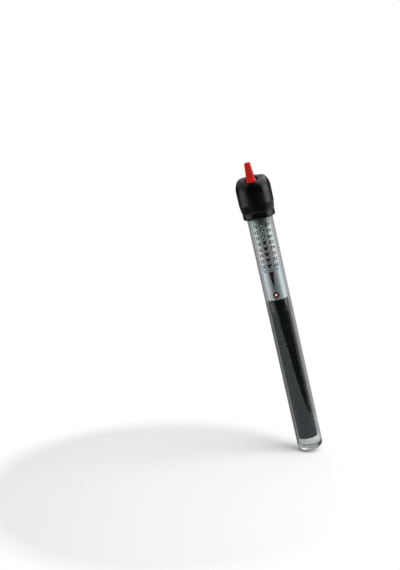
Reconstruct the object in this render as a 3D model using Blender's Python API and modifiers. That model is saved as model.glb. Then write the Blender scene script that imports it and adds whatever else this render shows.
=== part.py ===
"""Submersible aquarium heater, built as its separate pieces.

A glass tube with a rounded bottom is closed by a rubber cap. A red knob on the cap turns a
shaft that carries an indicator barrel and a spiral cam. The cam leans the contact arm of a
bimetal thermostat. A curved scale card stands in the upper half of the tube, with a neon lamp
behind its round hole. Below it a black sleeve holds a ceramic core wound with heating wire.

The frame is metres, +Z up along the tube. The origin is on the tube's axis, in the middle of
the band where the upper suction-cup clip holds the glass. -Y is the side with the scale.
"""

import math

import bmesh
import bpy
from mathutils import Matrix, Vector

# Driving dimensions in metres. A height with no other note is measured up from the glass foot.
GAP = 0.0003  # clearance between neighbouring pieces
CLIP_HEIGHT = 0.1200  # foot to the middle of the upper clip band

TUBE_LENGTH = 0.2500
TUBE_R = 0.0120
TUBE_WALL = 0.0013
TUBE_BASE = 0.0030  # glass thickness at the bottom
TUBE_CORNER_R = 0.0054  # outer corner between the wall and the flat foot
TUBE_INNER_CORNER_R = 0.0042

CAP_WALL = 0.0041  # rubber beside the glass at the cap's widest
CAP_FRONT_STRETCH = 1.06  # the cap is a little deeper than wide, more so at the back
CAP_REAR_STRETCH = 1.16
CAP_GRIP = 0.0200  # how far the cap comes down over the glass
CAP_SHOULDER_WIDTH = 0.0064
CAP_SHOULDER_HEIGHT = 0.0103
CAP_BAND_WALL = 0.0027  # thinner band round the bottom of the cap
CAP_BAND_HEIGHT = 0.0068
CAP_RIB = 0.0004  # size of the two small ribs at the lower rim
CAP_LIP = 0.0011  # rubber between the bush and the knob's pocket
CAP_CREST_Y = 0.0030  # highest line of the sloping top
CAP_SLOPE_LENGTH = 0.0200  # crest to the lowest part of the top
CAP_SLOPE_RISE = 0.0022
CAP_CROWN = 0.0013  # how much the top falls from the middle to its sides
CAP_SLOPE_DEPTH = 0.0230  # how far down the cap the slope dies out

POCKET_DEPTH = 0.0034
POCKET_CLEARANCE = 0.0011  # ring of air round the knob's flange

CORD_BORE_R = 0.0034  # takes a round two-core lead
CORD_COLLAR_WALL = 0.0018
CORD_COLLAR_RISE = 0.0017  # collar's top above the cap's nominal top

KNOB_HEIGHT = 0.0189
KNOB_FLANGE_R = 0.0053
KNOB_FLANGE_HEIGHT = 0.0026
KNOB_NECK_HEIGHT = 0.0060
KNOB_BLADE_BASE = (0.0082, 0.0086)  # thickness, then width
KNOB_BLADE_TIP = (0.0058, 0.0076)
KNOB_EDGE_R = 0.0014
KNOB_BORE_DEPTH = 0.0118

SHAFT_R = 0.0015
SHAFT_TIP_R = 0.0010
BUSH_HEAD_HEIGHT = 0.0090
BUSH_WALL = 0.0010
RING_WIRE_D = 0.0011  # thickness of a shaft seal ring
RING_COUNT = 2

PLUG_FLANGE_HEIGHT = 0.0020
PLUG_SHANK = 0.0163
LEAD_HOLE_X = 0.0016
LEAD_R = 0.00065
LEAD_SETTLE = 0.0120  # the leads reach their places beside the thermostat in this height
LEAD_EDGE = 0.0018  # those places from the plates' edge
LEAD_TURN = 0.0080  # above the stack screw, where the live lead leaves that place
LEAD_ARRIVAL = 0.0042  # above the stack screw, where it lies behind its tag

CARD_THICKNESS = 0.00035
CARD_CLEARANCE = 0.00105  # card to glass
CARD_SPREAD = 250.0  # degrees of arc that the card covers
CARD_TOP_MARGIN = 0.0122  # card above the warmest mark, hidden by the cap
LAMP_RISE = 0.0048  # lamp centre above the card's lower edge
LAMP_HOLE_R = 0.0029

ROW_COUNT = 8
ROW_PITCH = 0.00547
ROW_MARGIN = 0.0013  # coolest mark above the frame's top plate
MARK_WIDTH = 0.0036
MARK_HEIGHT = 0.0027
MARKED_SPAN = 14.0  # degrees Celsius from the coolest mark to the warmest
REST_ABOVE_COOLEST = 8.0  # the knob is drawn at this setting
TURN_PER_DEGREE = 20.0  # knob turn, in degrees of arc, for one degree Celsius

BARREL_R = 0.0026
BARREL_CLEARANCE = 0.0005  # barrel to the back of the card

FRAME_HEIGHT = 0.0301
TOP_PLATE = 0.0016
TOP_PLATE_CUT_Y = 0.0036  # the top plate stops here, to let the leads past
TIE_ROD_R = 0.0008
TIE_ROD_EDGE = 0.0020  # tie rod's axis from the plates' edge
NUT_R = 0.0016
NUT_HEIGHT = 0.0014

CAM_HEIGHT = 0.0021
CAM_LOW_R = 0.0020
CAM_RISE = 0.0008
CAM_SWEEP = 300.0  # degrees over which the cam's radius grows
CLIP_THICKNESS = 0.0007
CLIP_R = 0.0022

STACK_RISE = 0.0088  # stack screw above the frame's underside
STACK_FOOT = 0.0028  # half height of the clamped feet
ARM_THICKNESS = 0.0004
ARM_WIDTH = 0.0034
CONTACT_OPENING = 0.0006
CONTACT_R = 0.0012
CONTACT_THICKNESS = 0.0008
BIMETAL_THICKNESS = 0.0008
BIMETAL_WIDTH = 0.0052
SPACER_THICKNESS = 0.0026
TAG_THICKNESS = 0.0005
TAG_HEIGHT = 0.0032
BACK_BLOCK = 0.0010
BRACKET_THICKNESS = 0.0007
BRACKET_SIDE = 0.0005  # space between the bracket and the leads
STACK_SCREW_R = 0.0010
STACK_HEAD_R = 0.0019
STACK_HEAD = 0.0012
CONTACT_RISE = 0.0118  # contacts above the stack screw
MAGNET_SIZE = (0.0030, 0.0020, 0.0024)

LAMP_R = 0.0022
LENS_R = 0.0026
LENS_BORE_R = 0.00105
LENS_THICKNESS = 0.0009
RESISTOR_R = 0.0010
RESISTOR_SIDE = 0.0024  # space between the resistor and the tie rods' nuts
FINE_WIRE_R = 0.00025

SEPARATOR_HEIGHT = 0.0140
SEPARATOR_CLEARANCE = 0.0012
SEPARATOR_RECESS = 0.0060
SEPARATOR_WALL = 0.0011
SLEEVE_CLEARANCE = 0.0015
SLEEVE_WALL = 0.0008
PAD_HEIGHT = 0.0091
PAD_CLEARANCE = 0.0004

CORE_GROOVE = 0.0017  # depth of the winding between the core's flanges
CORE_BORE_R = 0.0016
CORE_FLANGE = 0.0050
HEATING_WIRE_R = 0.00045
COIL_TURNS = 28
COIL_POINTS = 9  # points in one turn
FEED_R = 0.0005
FEED_ANGLE = 203.0  # where the feed wire meets the coil, in degrees round the core

BIG_STEPS = 40
MID_STEPS = 24
SMALL_STEPS = 14

# Sizes that follow from the ones above.
TUBE_BORE_R = TUBE_R - TUBE_WALL
PLUG_R = TUBE_BORE_R - GAP
SEPARATOR_R = TUBE_BORE_R - SEPARATOR_CLEARANCE
SLEEVE_R = TUBE_BORE_R - SLEEVE_CLEARANCE
SLEEVE_BORE_R = SLEEVE_R - SLEEVE_WALL
PAD_R = TUBE_BORE_R - PAD_CLEARANCE
CARD_R = TUBE_BORE_R - CARD_CLEARANCE
CARD_INNER_R = CARD_R - CARD_THICKNESS
PLATE_R = CARD_INNER_R - GAP
SOCKET_R = TUBE_R + GAP
CAP_R = SOCKET_R + CAP_WALL
CAP_BAND_R = SOCKET_R + CAP_BAND_WALL
CORD_BORE_Y = SOCKET_R - GAP - CORD_BORE_R
TIE_ROD_X = PLATE_R - TIE_ROD_EDGE
LEAD_DROP = (PLATE_R - LEAD_EDGE) / math.sqrt(2.0)  # leads beside the thermostat, in x and y
TAG_REACH = LEAD_DROP + LEAD_R
BRACKET_WIDTH = 2.0 * (LEAD_DROP - LEAD_R - BRACKET_SIDE)
STACK_BLOCK_WIDTH = BRACKET_WIDTH - GAP
RESISTOR_LENGTH = 2.0 * (TIE_ROD_X - NUT_R - RESISTOR_SIDE)
CORE_FLANGE_R = SLEEVE_BORE_R - GAP
CORE_R = CORE_FLANGE_R - CORE_GROOVE
# The coil is straight between its points, so they stand a little further out.
COIL_R = (CORE_R + GAP + HEATING_WIRE_R) / math.cos(math.pi / COIL_POINTS)

SHAFT_Y = -(CARD_INNER_R - BARREL_CLEARANCE - BARREL_R)
SHAFT_HOLE_R = SHAFT_R + GAP
TIP_HOLE_R = SHAFT_TIP_R + GAP
BUSH_SHANK_R = SHAFT_HOLE_R + BUSH_WALL
RING_GROOVE_R = SHAFT_HOLE_R + RING_WIRE_D + GAP
BUSH_HEAD_R = RING_GROOVE_R + BUSH_WALL
POCKET_R = KNOB_FLANGE_R + POCKET_CLEARANCE
LEAD_HOLE_R = LEAD_R + GAP
TIE_HOLE_R = TIE_ROD_R + GAP
STACK_HOLE_R = STACK_SCREW_R + GAP
FEED_HOLE_R = FEED_R + GAP

PLUG_RIM = TUBE_LENGTH + GAP
PLUG_TOP = PLUG_RIM + PLUG_FLANGE_HEIGHT
PLUG_BOTTOM = PLUG_RIM - PLUG_SHANK
BUSH_SEAT = PLUG_TOP + GAP
BUSH_TOP = BUSH_SEAT + BUSH_HEAD_HEIGHT
BUSH_BOTTOM = PLUG_BOTTOM
POCKET_FLOOR = BUSH_TOP + GAP + CAP_LIP
CAP_TOP = POCKET_FLOOR + POCKET_DEPTH
CAP_BOTTOM = TUBE_LENGTH - CAP_GRIP
KNOB_BASE = POCKET_FLOOR + GAP
KNOB_TOP = KNOB_BASE + KNOB_HEIGHT

CARD_TOP = PLUG_BOTTOM - GAP
ROW_SPAN = ROW_PITCH * (ROW_COUNT - 1)
WARMEST_ROW = CARD_TOP - CARD_TOP_MARGIN
COOLEST_ROW = WARMEST_ROW - ROW_SPAN
FRAME_TOP = COOLEST_ROW - ROW_MARGIN
FRAME_BOTTOM = FRAME_TOP - FRAME_HEIGHT
CARD_BOTTOM = FRAME_BOTTOM
SEPARATOR_TOP = CARD_BOTTOM - GAP
SEPARATOR_BOTTOM = SEPARATOR_TOP - SEPARATOR_HEIGHT
SLEEVE_TOP = SEPARATOR_BOTTOM - GAP
PAD_BOTTOM = TUBE_BASE + GAP
PAD_TOP = PAD_BOTTOM + PAD_HEIGHT
SLEEVE_BOTTOM = PAD_TOP + GAP
CORE_TOP = SLEEVE_TOP - GAP
CORE_BOTTOM = SLEEVE_BOTTOM

BASE_PLATE_TOP = FRAME_BOTTOM + LAMP_RISE - LENS_R - GAP
TOP_PLATE_BOTTOM = FRAME_TOP - TOP_PLATE
LAMP_H = CARD_BOTTOM + LAMP_RISE
STACK_H = FRAME_BOTTOM + STACK_RISE
CLIP_H = TOP_PLATE_BOTTOM - GAP - CLIP_THICKNESS
CAM_TOP = CLIP_H - GAP
CAM_BOTTOM = CAM_TOP - CAM_HEIGHT
TAB_H = CAM_BOTTOM + CAM_HEIGHT / 2.0
SHAFT_STEP = FRAME_TOP + GAP
BARREL_BOTTOM = SHAFT_STEP + GAP
BARREL_TOP = WARMEST_ROW + MARK_HEIGHT + 2.0 * GAP

TURN_LOW = REST_ABOVE_COOLEST * TURN_PER_DEGREE + 10.0
TURN_HIGH = CAM_SWEEP - TURN_LOW
CAM_REST_R = CAM_LOW_R + CAM_RISE * TURN_LOW / CAM_SWEEP

# Layers of the thermostat stack, from the front. The contact arm is the plane y = 0.
ARM_FRONT = -ARM_THICKNESS / 2.0
LOAD_TAG_FRONT = ARM_FRONT - GAP - TAG_THICKNESS
STACK_HEAD_BACK = LOAD_TAG_FRONT - GAP
SPACER_FRONT = ARM_THICKNESS / 2.0 + GAP
BIMETAL_FRONT = SPACER_FRONT + SPACER_THICKNESS + GAP
LIVE_TAG_FRONT = BIMETAL_FRONT + BIMETAL_THICKNESS + GAP
BACK_BLOCK_FRONT = LIVE_TAG_FRONT + TAG_THICKNESS + GAP
BRACKET_FRONT = BACK_BLOCK_FRONT + BACK_BLOCK + GAP
STACK_NUT_FRONT = BRACKET_FRONT + BRACKET_THICKNESS + GAP
STACK_END = STACK_NUT_FRONT + NUT_HEIGHT + GAP
STACK_HEAD_FRONT = STACK_HEAD_BACK - STACK_HEAD

# The lamp fills the space from the back of its lens to the stack screw's head.
LENS_BACK = -(CARD_INNER_R - GAP)
LAMP_TIP = LENS_BACK + GAP
LAMP_BACK = STACK_HEAD_FRONT - GAP

PARTS = "aquarium_heater"
CUTTERS = "cutters"


def z_of(height):
    """Turn a height above the foot into the frame's Z."""
    return height - CLIP_HEIGHT


def clear_scene():
    for obj in list(bpy.data.objects):
        bpy.data.objects.remove(obj, do_unlink=True)
    for name in (PARTS, CUTTERS):
        if name in bpy.data.collections:
            bpy.data.collections.remove(bpy.data.collections[name])
        bpy.context.scene.collection.children.link(bpy.data.collections.new(name))


def finish(name, colour, roughness, metallic=0.0, transmission=0.0, glow=0.0):
    """Make one sub-part's Principled material."""
    made = bpy.data.materials.new(name)
    made.use_nodes = True
    shader = made.node_tree.nodes["Principled BSDF"]
    shader.inputs["Base Color"].default_value = (*colour, 1.0)
    shader.inputs["Roughness"].default_value = roughness
    shader.inputs["Metallic"].default_value = metallic
    shader.inputs["Transmission Weight"].default_value = transmission
    shader.inputs["Emission Color"].default_value = (*colour, 1.0)
    shader.inputs["Emission Strength"].default_value = glow
    return made


def place(name, data, surface=None):
    """Add an object for a sub-part, or for a cutter if it has no surface material."""
    obj = bpy.data.objects.new(name, data)
    if surface is None:
        bpy.data.collections[CUTTERS].objects.link(obj)
        obj.hide_render = True
        obj.display_type = "WIRE"
    else:
        bpy.data.collections[PARTS].objects.link(obj)
        data.materials.append(surface)
    return obj


def mesh_object(name, bm, surface=None):
    """Turn a bmesh into an object, shaded smooth apart from its real edges."""
    mesh = bpy.data.meshes.new(name)
    bm.to_mesh(mesh)
    bm.free()
    mesh.shade_smooth()
    mesh.set_sharp_from_angle(angle=math.radians(35.0))
    return place(name, mesh, surface)


def arc(centre_r, centre_h, radius, start, end, count):
    """Points of an arc in a turned profile, angles in degrees from the outward direction."""
    points = []
    for step in range(count + 1):
        angle = math.radians(start + (end - start) * step / count)
        point = (centre_r + radius * math.cos(angle), centre_h + radius * math.sin(angle))
        points.append(point)
    return points


def turned(name, profiles, surface=None, steps=MID_STEPS, at=(0.0, 0.0), forward=False):
    """Turn (radius, height) profiles about a vertical axis, or about one that points forward.

    A profile runs down its outer side. One that starts off the axis is closed on itself. With
    forward set, heights are distances towards the front, and at is the axis's (x, height).
    """
    bm = bmesh.new()
    for profile in profiles:
        points = []
        for radius, height in profile:
            points.append(bm.verts.new((radius, 0.0, height if forward else z_of(height))))
        for first, second in zip(points, points[1:]):
            bm.edges.new((first, second))
        if profile[0][0] > 0.0:
            bm.edges.new((points[-1], points[0]))
    mesh = bpy.data.meshes.new(name)
    bm.to_mesh(mesh)
    bm.free()
    obj = place(name, mesh, surface)
    if forward:
        obj.location = (at[0], 0.0, z_of(at[1]))
        obj.rotation_euler = (math.radians(90.0), 0.0, 0.0)
    else:
        obj.location = (at[0], at[1], 0.0)
    screw = obj.modifiers.new("turn", "SCREW")
    screw.steps = steps
    screw.render_steps = steps
    screw.use_merge_vertices = True
    screw.merge_threshold = 0.00001
    screw.use_smooth_shade = True
    return obj


def add_rod(bm, radius, start, end, segments=SMALL_STEPS):
    """Add a closed cylinder between two points given as (x, y, height)."""
    low = Vector((start[0], start[1], z_of(start[2])))
    high = Vector((end[0], end[1], z_of(end[2])))
    along = high - low
    turn = along.to_track_quat("Z", "Y").to_matrix().to_4x4()
    bmesh.ops.create_cone(
        bm, cap_ends=True, segments=segments, radius1=radius, radius2=radius,
        depth=along.length, matrix=Matrix.Translation((low + high) / 2.0) @ turn)


def add_block(bm, low, high):
    """Add a box between two corners given as (x, y, height)."""
    first = Vector((low[0], low[1], z_of(low[2])))
    second = Vector((high[0], high[1], z_of(high[2])))
    size = second - first
    stretch = Matrix.Diagonal((size.x, size.y, size.z, 1.0))
    bmesh.ops.create_cube(bm, size=1.0, matrix=Matrix.Translation((first + second) / 2.0) @ stretch)


def rods(name, runs, radius, surface=None, segments=SMALL_STEPS):
    bm = bmesh.new()
    for start, end in runs:
        add_rod(bm, radius, start, end, segments)
    return mesh_object(name, bm, surface)


def block(name, low, high, surface=None):
    bm = bmesh.new()
    add_block(bm, low, high)
    return mesh_object(name, bm, surface)


def combine(obj, other, operation):
    """Cut, or join, a mesh object with another one."""
    step = obj.modifiers.new(other.name, "BOOLEAN")
    step.operation = operation
    step.object = other
    return obj


def cut(obj, *cutters):
    for cutter in cutters:
        combine(obj, cutter, "DIFFERENCE")
    return obj


def bevel(obj, width, segments=2, angle=35.0):
    step = obj.modifiers.new("edges", "BEVEL")
    step.width = width
    step.segments = segments
    step.limit_method = "ANGLE"
    step.angle_limit = math.radians(angle)
    return obj


def wire(name, route, radius, surface, resolution=1):
    """Make a tube along a route of (x, y, height) points."""
    curve = bpy.data.curves.new(name, "CURVE")
    curve.dimensions = "3D"
    curve.bevel_depth = radius
    curve.bevel_resolution = resolution
    curve.use_fill_caps = True
    spline = curve.splines.new("POLY")
    spline.points.add(len(route) - 1)
    for point, (x, y, height) in zip(spline.points, route):
        point.co = (x, y, z_of(height), 1.0)
    spline.use_smooth = True
    return place(name, curve, surface)


def bent_strip(name, path, width, thickness, surface):
    """Bend a strip along (y, height) points, centred on x = 0."""
    bm = bmesh.new()
    rows = []
    for y, height in path:
        left = bm.verts.new((-width / 2.0, y, z_of(height)))
        right = bm.verts.new((width / 2.0, y, z_of(height)))
        rows.append((left, right))
    for (left, right), (next_left, next_right) in zip(rows, rows[1:]):
        bm.faces.new((left, right, next_right, next_left))
    obj = mesh_object(name, bm, surface)
    wall = obj.modifiers.new("thickness", "SOLIDIFY")
    wall.thickness = thickness
    wall.offset = 0.0
    wall.use_even_offset = True
    return obj


def rounded(points, bend, between=3):
    """Round the corners of a route: each bend starts at most this far before its corner."""
    route = [tuple(points[0])]
    for before, at, after in zip(points, points[1:], points[2:]):
        corner = Vector(at)
        to_before = Vector(before) - corner
        to_after = Vector(after) - corner
        start = corner + to_before.normalized() * min(bend, to_before.length * 0.45)
        end = corner + to_after.normalized() * min(bend, to_after.length * 0.45)
        for step in range(between + 1):
            t = step / between
            point = start * (1.0 - t) ** 2 + corner * 2.0 * t * (1.0 - t) + end * t * t
            route.append(tuple(point))
    route.append(tuple(points[-1]))
    return route


def pivot(name, location, pieces):
    """Put an empty on a joint's axis and hang the pieces that move about it on it."""
    empty = bpy.data.objects.new(name, None)
    empty.empty_display_size = 0.004
    empty.location = location
    bpy.data.collections[PARTS].objects.link(empty)
    for piece in pieces:
        piece.parent = empty
        piece.matrix_parent_inverse = Matrix.Translation(-Vector(location))


def glass_tube():
    """Heat-proof glass tube, closed and flat at the bottom, fire-polished at the mouth."""
    rim = TUBE_WALL / 2.0
    inside = arc(TUBE_BORE_R - TUBE_INNER_CORNER_R, TUBE_BASE + TUBE_INNER_CORNER_R,
                 TUBE_INNER_CORNER_R, -90.0, 0.0, 6)
    mouth = arc(TUBE_BORE_R + rim, TUBE_LENGTH - rim, rim, 180.0, 0.0, 4)
    foot = arc(TUBE_R - TUBE_CORNER_R, TUBE_CORNER_R, TUBE_CORNER_R, 0.0, -90.0, 7)
    profile = [(0.0, TUBE_BASE)] + inside + mouth + foot + [(0.0, 0.0)]
    surface = finish("borosilicate_glass", (0.95, 0.97, 0.97), 0.03, transmission=1.0)
    return turned("glass_tube", [profile], surface, BIG_STEPS)


def cap_outline():
    """Half outline of the cap, from the top centre down to its lower rim."""
    top = []
    for radius, height in arc(0.0, 0.0, 1.0, 90.0, 0.0, 7):
        across = CAP_R - CAP_SHOULDER_WIDTH * (1.0 - radius)
        top.append((across, CAP_TOP - CAP_SHOULDER_HEIGHT * (1.0 - height)))
    band = CAP_BOTTOM + CAP_BAND_HEIGHT
    waist = [
        (CAP_R - CAP_RIB / 4.0, band + CAP_BAND_HEIGHT),
        (CAP_BAND_R + CAP_RIB * 2.0, band + CAP_RIB * 7.5),
        (CAP_BAND_R + CAP_RIB, band + CAP_RIB),
        (CAP_BAND_R, band),
    ]
    rim = [(0.0, 6.5), (0.5, 5.5), (0.5, 4.0), (-0.5, 3.0), (0.0, 2.0), (-0.5, 0.8), (-1.8, 0.0)]
    ribs = [(CAP_BAND_R + CAP_RIB * out, CAP_BOTTOM + CAP_RIB * up) for out, up in rim]
    return [(0.0, CAP_TOP)] + top + waist + ribs + [(0.0, CAP_BOTTOM)]


def shape_cap(mesh):
    """Make the turned cap deeper than wide and give its top a crest that slopes forward."""
    fade_start = z_of(CAP_TOP - CAP_SLOPE_DEPTH)
    for vertex in mesh.vertices:
        stretch = CAP_FRONT_STRETCH if vertex.co.y < 0.0 else CAP_REAR_STRETCH
        vertex.co.y *= stretch
        share = (vertex.co.z - fade_start) / CAP_SLOPE_DEPTH
        share = min(max(share, 0.0), 1.0)
        share = share * share * (3.0 - 2.0 * share)
        wave = math.cos(math.pi * (vertex.co.y - CAP_CREST_Y) / CAP_SLOPE_LENGTH)
        crown = CAP_CROWN * (vertex.co.x / CAP_R) ** 2
        vertex.co.z += (CAP_SLOPE_RISE * wave - crown) * share


def settled(obj, surface=None):
    """Replace an object by the mesh that its modifiers give."""
    bpy.context.view_layer.update()
    evaluated = obj.evaluated_get(bpy.context.evaluated_depsgraph_get())
    mesh = bpy.data.meshes.new_from_object(evaluated)
    bm = bmesh.new()
    bm.from_mesh(mesh)
    bmesh.ops.remove_doubles(bm, verts=bm.verts, dist=0.000001)
    bpy.data.meshes.remove(mesh)
    name = obj.name
    place_matrix = obj.matrix_world.copy()
    bpy.data.objects.remove(obj, do_unlink=True)
    made = mesh_object(name, bm, surface)
    made.matrix_world = place_matrix
    return made


def rubber_cap():
    """Moulded rubber cap: grips the glass, holds the shaft bush and lets the cord in."""
    surface = finish("cap_rubber", (0.02, 0.02, 0.022), 0.5)
    cap = settled(turned("rubber_cap", [grid_top(cap_outline())], None, BIG_STEPS), surface)
    shape_cap(cap.data)
    collar = turned("cord_collar", [[
        (0.0, CAP_TOP + CORD_COLLAR_RISE),
        (CORD_BORE_R + CORD_COLLAR_WALL - 0.0005, CAP_TOP + CORD_COLLAR_RISE),
        (CORD_BORE_R + CORD_COLLAR_WALL, CAP_TOP + CORD_COLLAR_RISE - 0.0005),
        (CORD_BORE_R + CORD_COLLAR_WALL, BUSH_SEAT + CAP_LIP),
        (0.0, BUSH_SEAT + CAP_LIP),
    ]], None, MID_STEPS, (0.0, CORD_BORE_Y))
    combine(cap, collar, "UNION")
    above = CAP_TOP + 2.0 * CAP_SLOPE_RISE
    below = CAP_BOTTOM - CAP_LIP
    axis = (0.0, SHAFT_Y)
    bores = (
        ("tube_socket", SOCKET_R, below, BUSH_SEAT, (0.0, 0.0), BIG_STEPS),
        ("bush_bore", BUSH_HEAD_R + GAP, TUBE_LENGTH, BUSH_TOP + GAP, axis, MID_STEPS),
        ("shaft_bore", SHAFT_HOLE_R, TUBE_LENGTH, above, axis, MID_STEPS),
        ("knob_pocket", POCKET_R, POCKET_FLOOR, above, axis, MID_STEPS),
        ("cord_bore", CORD_BORE_R, TUBE_LENGTH, above, (0.0, CORD_BORE_Y), MID_STEPS),
    )
    for name, radius, low, high, at, steps in bores:
        cutter = rods(name, [((*at, low), (*at, high))], radius, None, steps)
        cut(cap, cutter)
    return cap


def grid_top(outline):
    """Split the flat top of an outline into rings, so that the slope can bend it."""
    centre, edge = outline[0], outline[1]
    rings = []
    for share in (0.25, 0.5, 0.75):
        rings.append((edge[0] * share, centre[1]))
    return [centre] + rings + outline[1:]


def adjusting_knob():
    """Red knob: a round flange that runs up into a tapered blade."""
    surface = finish("knob_plastic", (0.62, 0.012, 0.006), 0.35)
    neck = max(KNOB_BLADE_BASE) / 2.0
    flange = [
        (0.0, KNOB_BASE + KNOB_NECK_HEIGHT),
        (neck * 0.90, KNOB_BASE + KNOB_NECK_HEIGHT),
        (neck, KNOB_BASE + (KNOB_NECK_HEIGHT + KNOB_FLANGE_HEIGHT) / 2.0),
        (KNOB_FLANGE_R - 0.0003, KNOB_BASE + KNOB_FLANGE_HEIGHT + 0.0003),
        (KNOB_FLANGE_R, KNOB_BASE + KNOB_FLANGE_HEIGHT),
        (KNOB_FLANGE_R, KNOB_BASE + 0.0004),
        (KNOB_FLANGE_R - 0.0004, KNOB_BASE),
        (0.0, KNOB_BASE),
    ]
    knob = settled(turned("adjusting_knob", [flange], None, MID_STEPS, (0.0, SHAFT_Y)), surface)
    bm = bmesh.new()
    half = KNOB_BLADE_BASE[0] / 2.0
    deep = KNOB_BLADE_BASE[1] / 2.0
    add_block(bm, (-half, -deep, KNOB_BASE + KNOB_FLANGE_HEIGHT / 2.0), (half, deep, KNOB_TOP))
    tip = [vertex for vertex in bm.verts if vertex.co.z > z_of(KNOB_TOP) - GAP]
    narrowing = (KNOB_BLADE_TIP[0] / KNOB_BLADE_BASE[0], KNOB_BLADE_TIP[1] / KNOB_BLADE_BASE[1], 1.0)
    bmesh.ops.scale(bm, vec=narrowing, verts=tip)
    blade = mesh_object("knob_blade", bm)
    blade.location.y = SHAFT_Y
    bevel(blade, KNOB_EDGE_R, 3)
    combine(knob, blade, "UNION")
    bore = rods("knob_bore", [((0.0, SHAFT_Y, KNOB_BASE - GAP),
                               (0.0, SHAFT_Y, KNOB_BASE + KNOB_BORE_DEPTH))], SHAFT_HOLE_R)
    return cut(knob, bore)


def adjuster_shaft():
    """Brass shaft from the knob to the cam, stepped where it stands on the top plate."""
    chamfer = SHAFT_R / 5.0
    top = KNOB_BASE + KNOB_BORE_DEPTH - GAP
    profile = [
        (0.0, top),
        (SHAFT_R - chamfer, top),
        (SHAFT_R, top - chamfer),
        (SHAFT_R, SHAFT_STEP),
        (SHAFT_TIP_R, SHAFT_STEP),
        (SHAFT_TIP_R, CAM_BOTTOM - GAP),
        (0.0, CAM_BOTTOM - GAP),
    ]
    surface = finish("shaft_brass", (0.75, 0.55, 0.25), 0.3, 1.0)
    return turned("adjuster_shaft", [profile], surface, SMALL_STEPS, (0.0, SHAFT_Y))


def ring_heights():
    """Centre height of each seal ring's groove, spaced evenly in the bush's head."""
    pitch = BUSH_HEAD_HEIGHT / (RING_COUNT + 1)
    return [BUSH_SEAT + pitch * (number + 1) for number in range(RING_COUNT)]


def seal_ring(name, height):
    """Rubber ring in the bush that keeps water off the shaft."""
    wire = RING_WIRE_D / 2.0
    circle = arc(SHAFT_HOLE_R + wire, height, wire, 90.0, -270.0, 8)
    surface = finish(name + "_rubber", (0.03, 0.03, 0.03), 0.6)
    return turned(name, [circle[:-1]], surface, SMALL_STEPS, (0.0, SHAFT_Y))


def shaft_bush():
    """Turned bush that guides the shaft through the plug and holds the seal rings."""
    half = RING_WIRE_D / 2.0 + GAP
    bore = [(SHAFT_HOLE_R, BUSH_BOTTOM)]
    for height in ring_heights():
        bore.append((SHAFT_HOLE_R, height - half))
        bore.append((RING_GROOVE_R, height - half))
        bore.append((RING_GROOVE_R, height + half))
        bore.append((SHAFT_HOLE_R, height + half))
    outside = [
        (SHAFT_HOLE_R, BUSH_TOP),
        (BUSH_HEAD_R, BUSH_TOP),
        (BUSH_HEAD_R, BUSH_SEAT),
        (BUSH_SHANK_R, BUSH_SEAT),
        (BUSH_SHANK_R, BUSH_BOTTOM),
    ]
    surface = finish("bush_nylon", (0.82, 0.80, 0.74), 0.5)
    return turned("shaft_bush", [outside + bore], surface, SMALL_STEPS, (0.0, SHAFT_Y))


def head_plug():
    """Plug in the tube's mouth, flanged over the rim, that carries the bush and tie rods."""
    flange_r = SOCKET_R - GAP
    profile = [
        (0.0, PLUG_TOP),
        (flange_r, PLUG_TOP),
        (flange_r, PLUG_RIM),
        (PLUG_R, PLUG_RIM),
        (PLUG_R, PLUG_BOTTOM),
        (0.0, PLUG_BOTTOM),
    ]
    surface = finish("plug_moulding", (0.10, 0.10, 0.11), 0.55)
    plug = turned("head_plug", [profile], surface, BIG_STEPS)
    low = PLUG_BOTTOM - GAP
    high = PLUG_TOP + GAP
    bush = rods("bush_hole", [((0.0, SHAFT_Y, low), (0.0, SHAFT_Y, high))], BUSH_SHANK_R + GAP,
                None, MID_STEPS)
    leads = [((side * LEAD_HOLE_X, CORD_BORE_Y, low), (side * LEAD_HOLE_X, CORD_BORE_Y, high))
             for side in (-1, 1)]
    ties = [((side * TIE_ROD_X, 0.0, low), (side * TIE_ROD_X, 0.0, tie_rod_top() + GAP))
            for side in (-1, 1)]
    lead_holes = rods("plug_lead_holes", leads, LEAD_HOLE_R)
    tie_holes = rods("plug_tie_holes", ties, TIE_HOLE_R)
    return cut(plug, bush, lead_holes, tie_holes)


def tie_rod_top():
    """The tie rods reach a third of the way up the plug."""
    return PLUG_BOTTOM + PLUG_SHANK / 3.0


def scale_card():
    """Curved card of stiff metallised film with a window for each mark and one for the lamp."""
    surface = finish("metallised_film", (0.78, 0.80, 0.82), 0.3, 0.6)
    middle = (CARD_R + CARD_INNER_R) / 2.0
    columns = 36
    bm = bmesh.new()
    rows = []
    for step in range(columns + 1):
        angle = math.radians(-90.0 + CARD_SPREAD * (step / columns - 0.5))
        x = middle * math.cos(angle)
        y = middle * math.sin(angle)
        rows.append((bm.verts.new((x, y, z_of(CARD_BOTTOM))), bm.verts.new((x, y, z_of(CARD_TOP)))))
    for (low, high), (next_low, next_high) in zip(rows, rows[1:]):
        bm.faces.new((low, next_low, next_high, high))
    card = mesh_object("scale_card", bm, surface)
    wall = card.modifiers.new("thickness", "SOLIDIFY")
    wall.thickness = CARD_THICKNESS
    wall.offset = 0.0
    wall.use_even_offset = True
    hole = rods("lamp_hole", [((0.0, -TUBE_R, LAMP_H), (0.0, SHAFT_Y, LAMP_H))],
                LAMP_HOLE_R, None, MID_STEPS)
    return cut(card, mark_windows(), hole)


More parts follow.
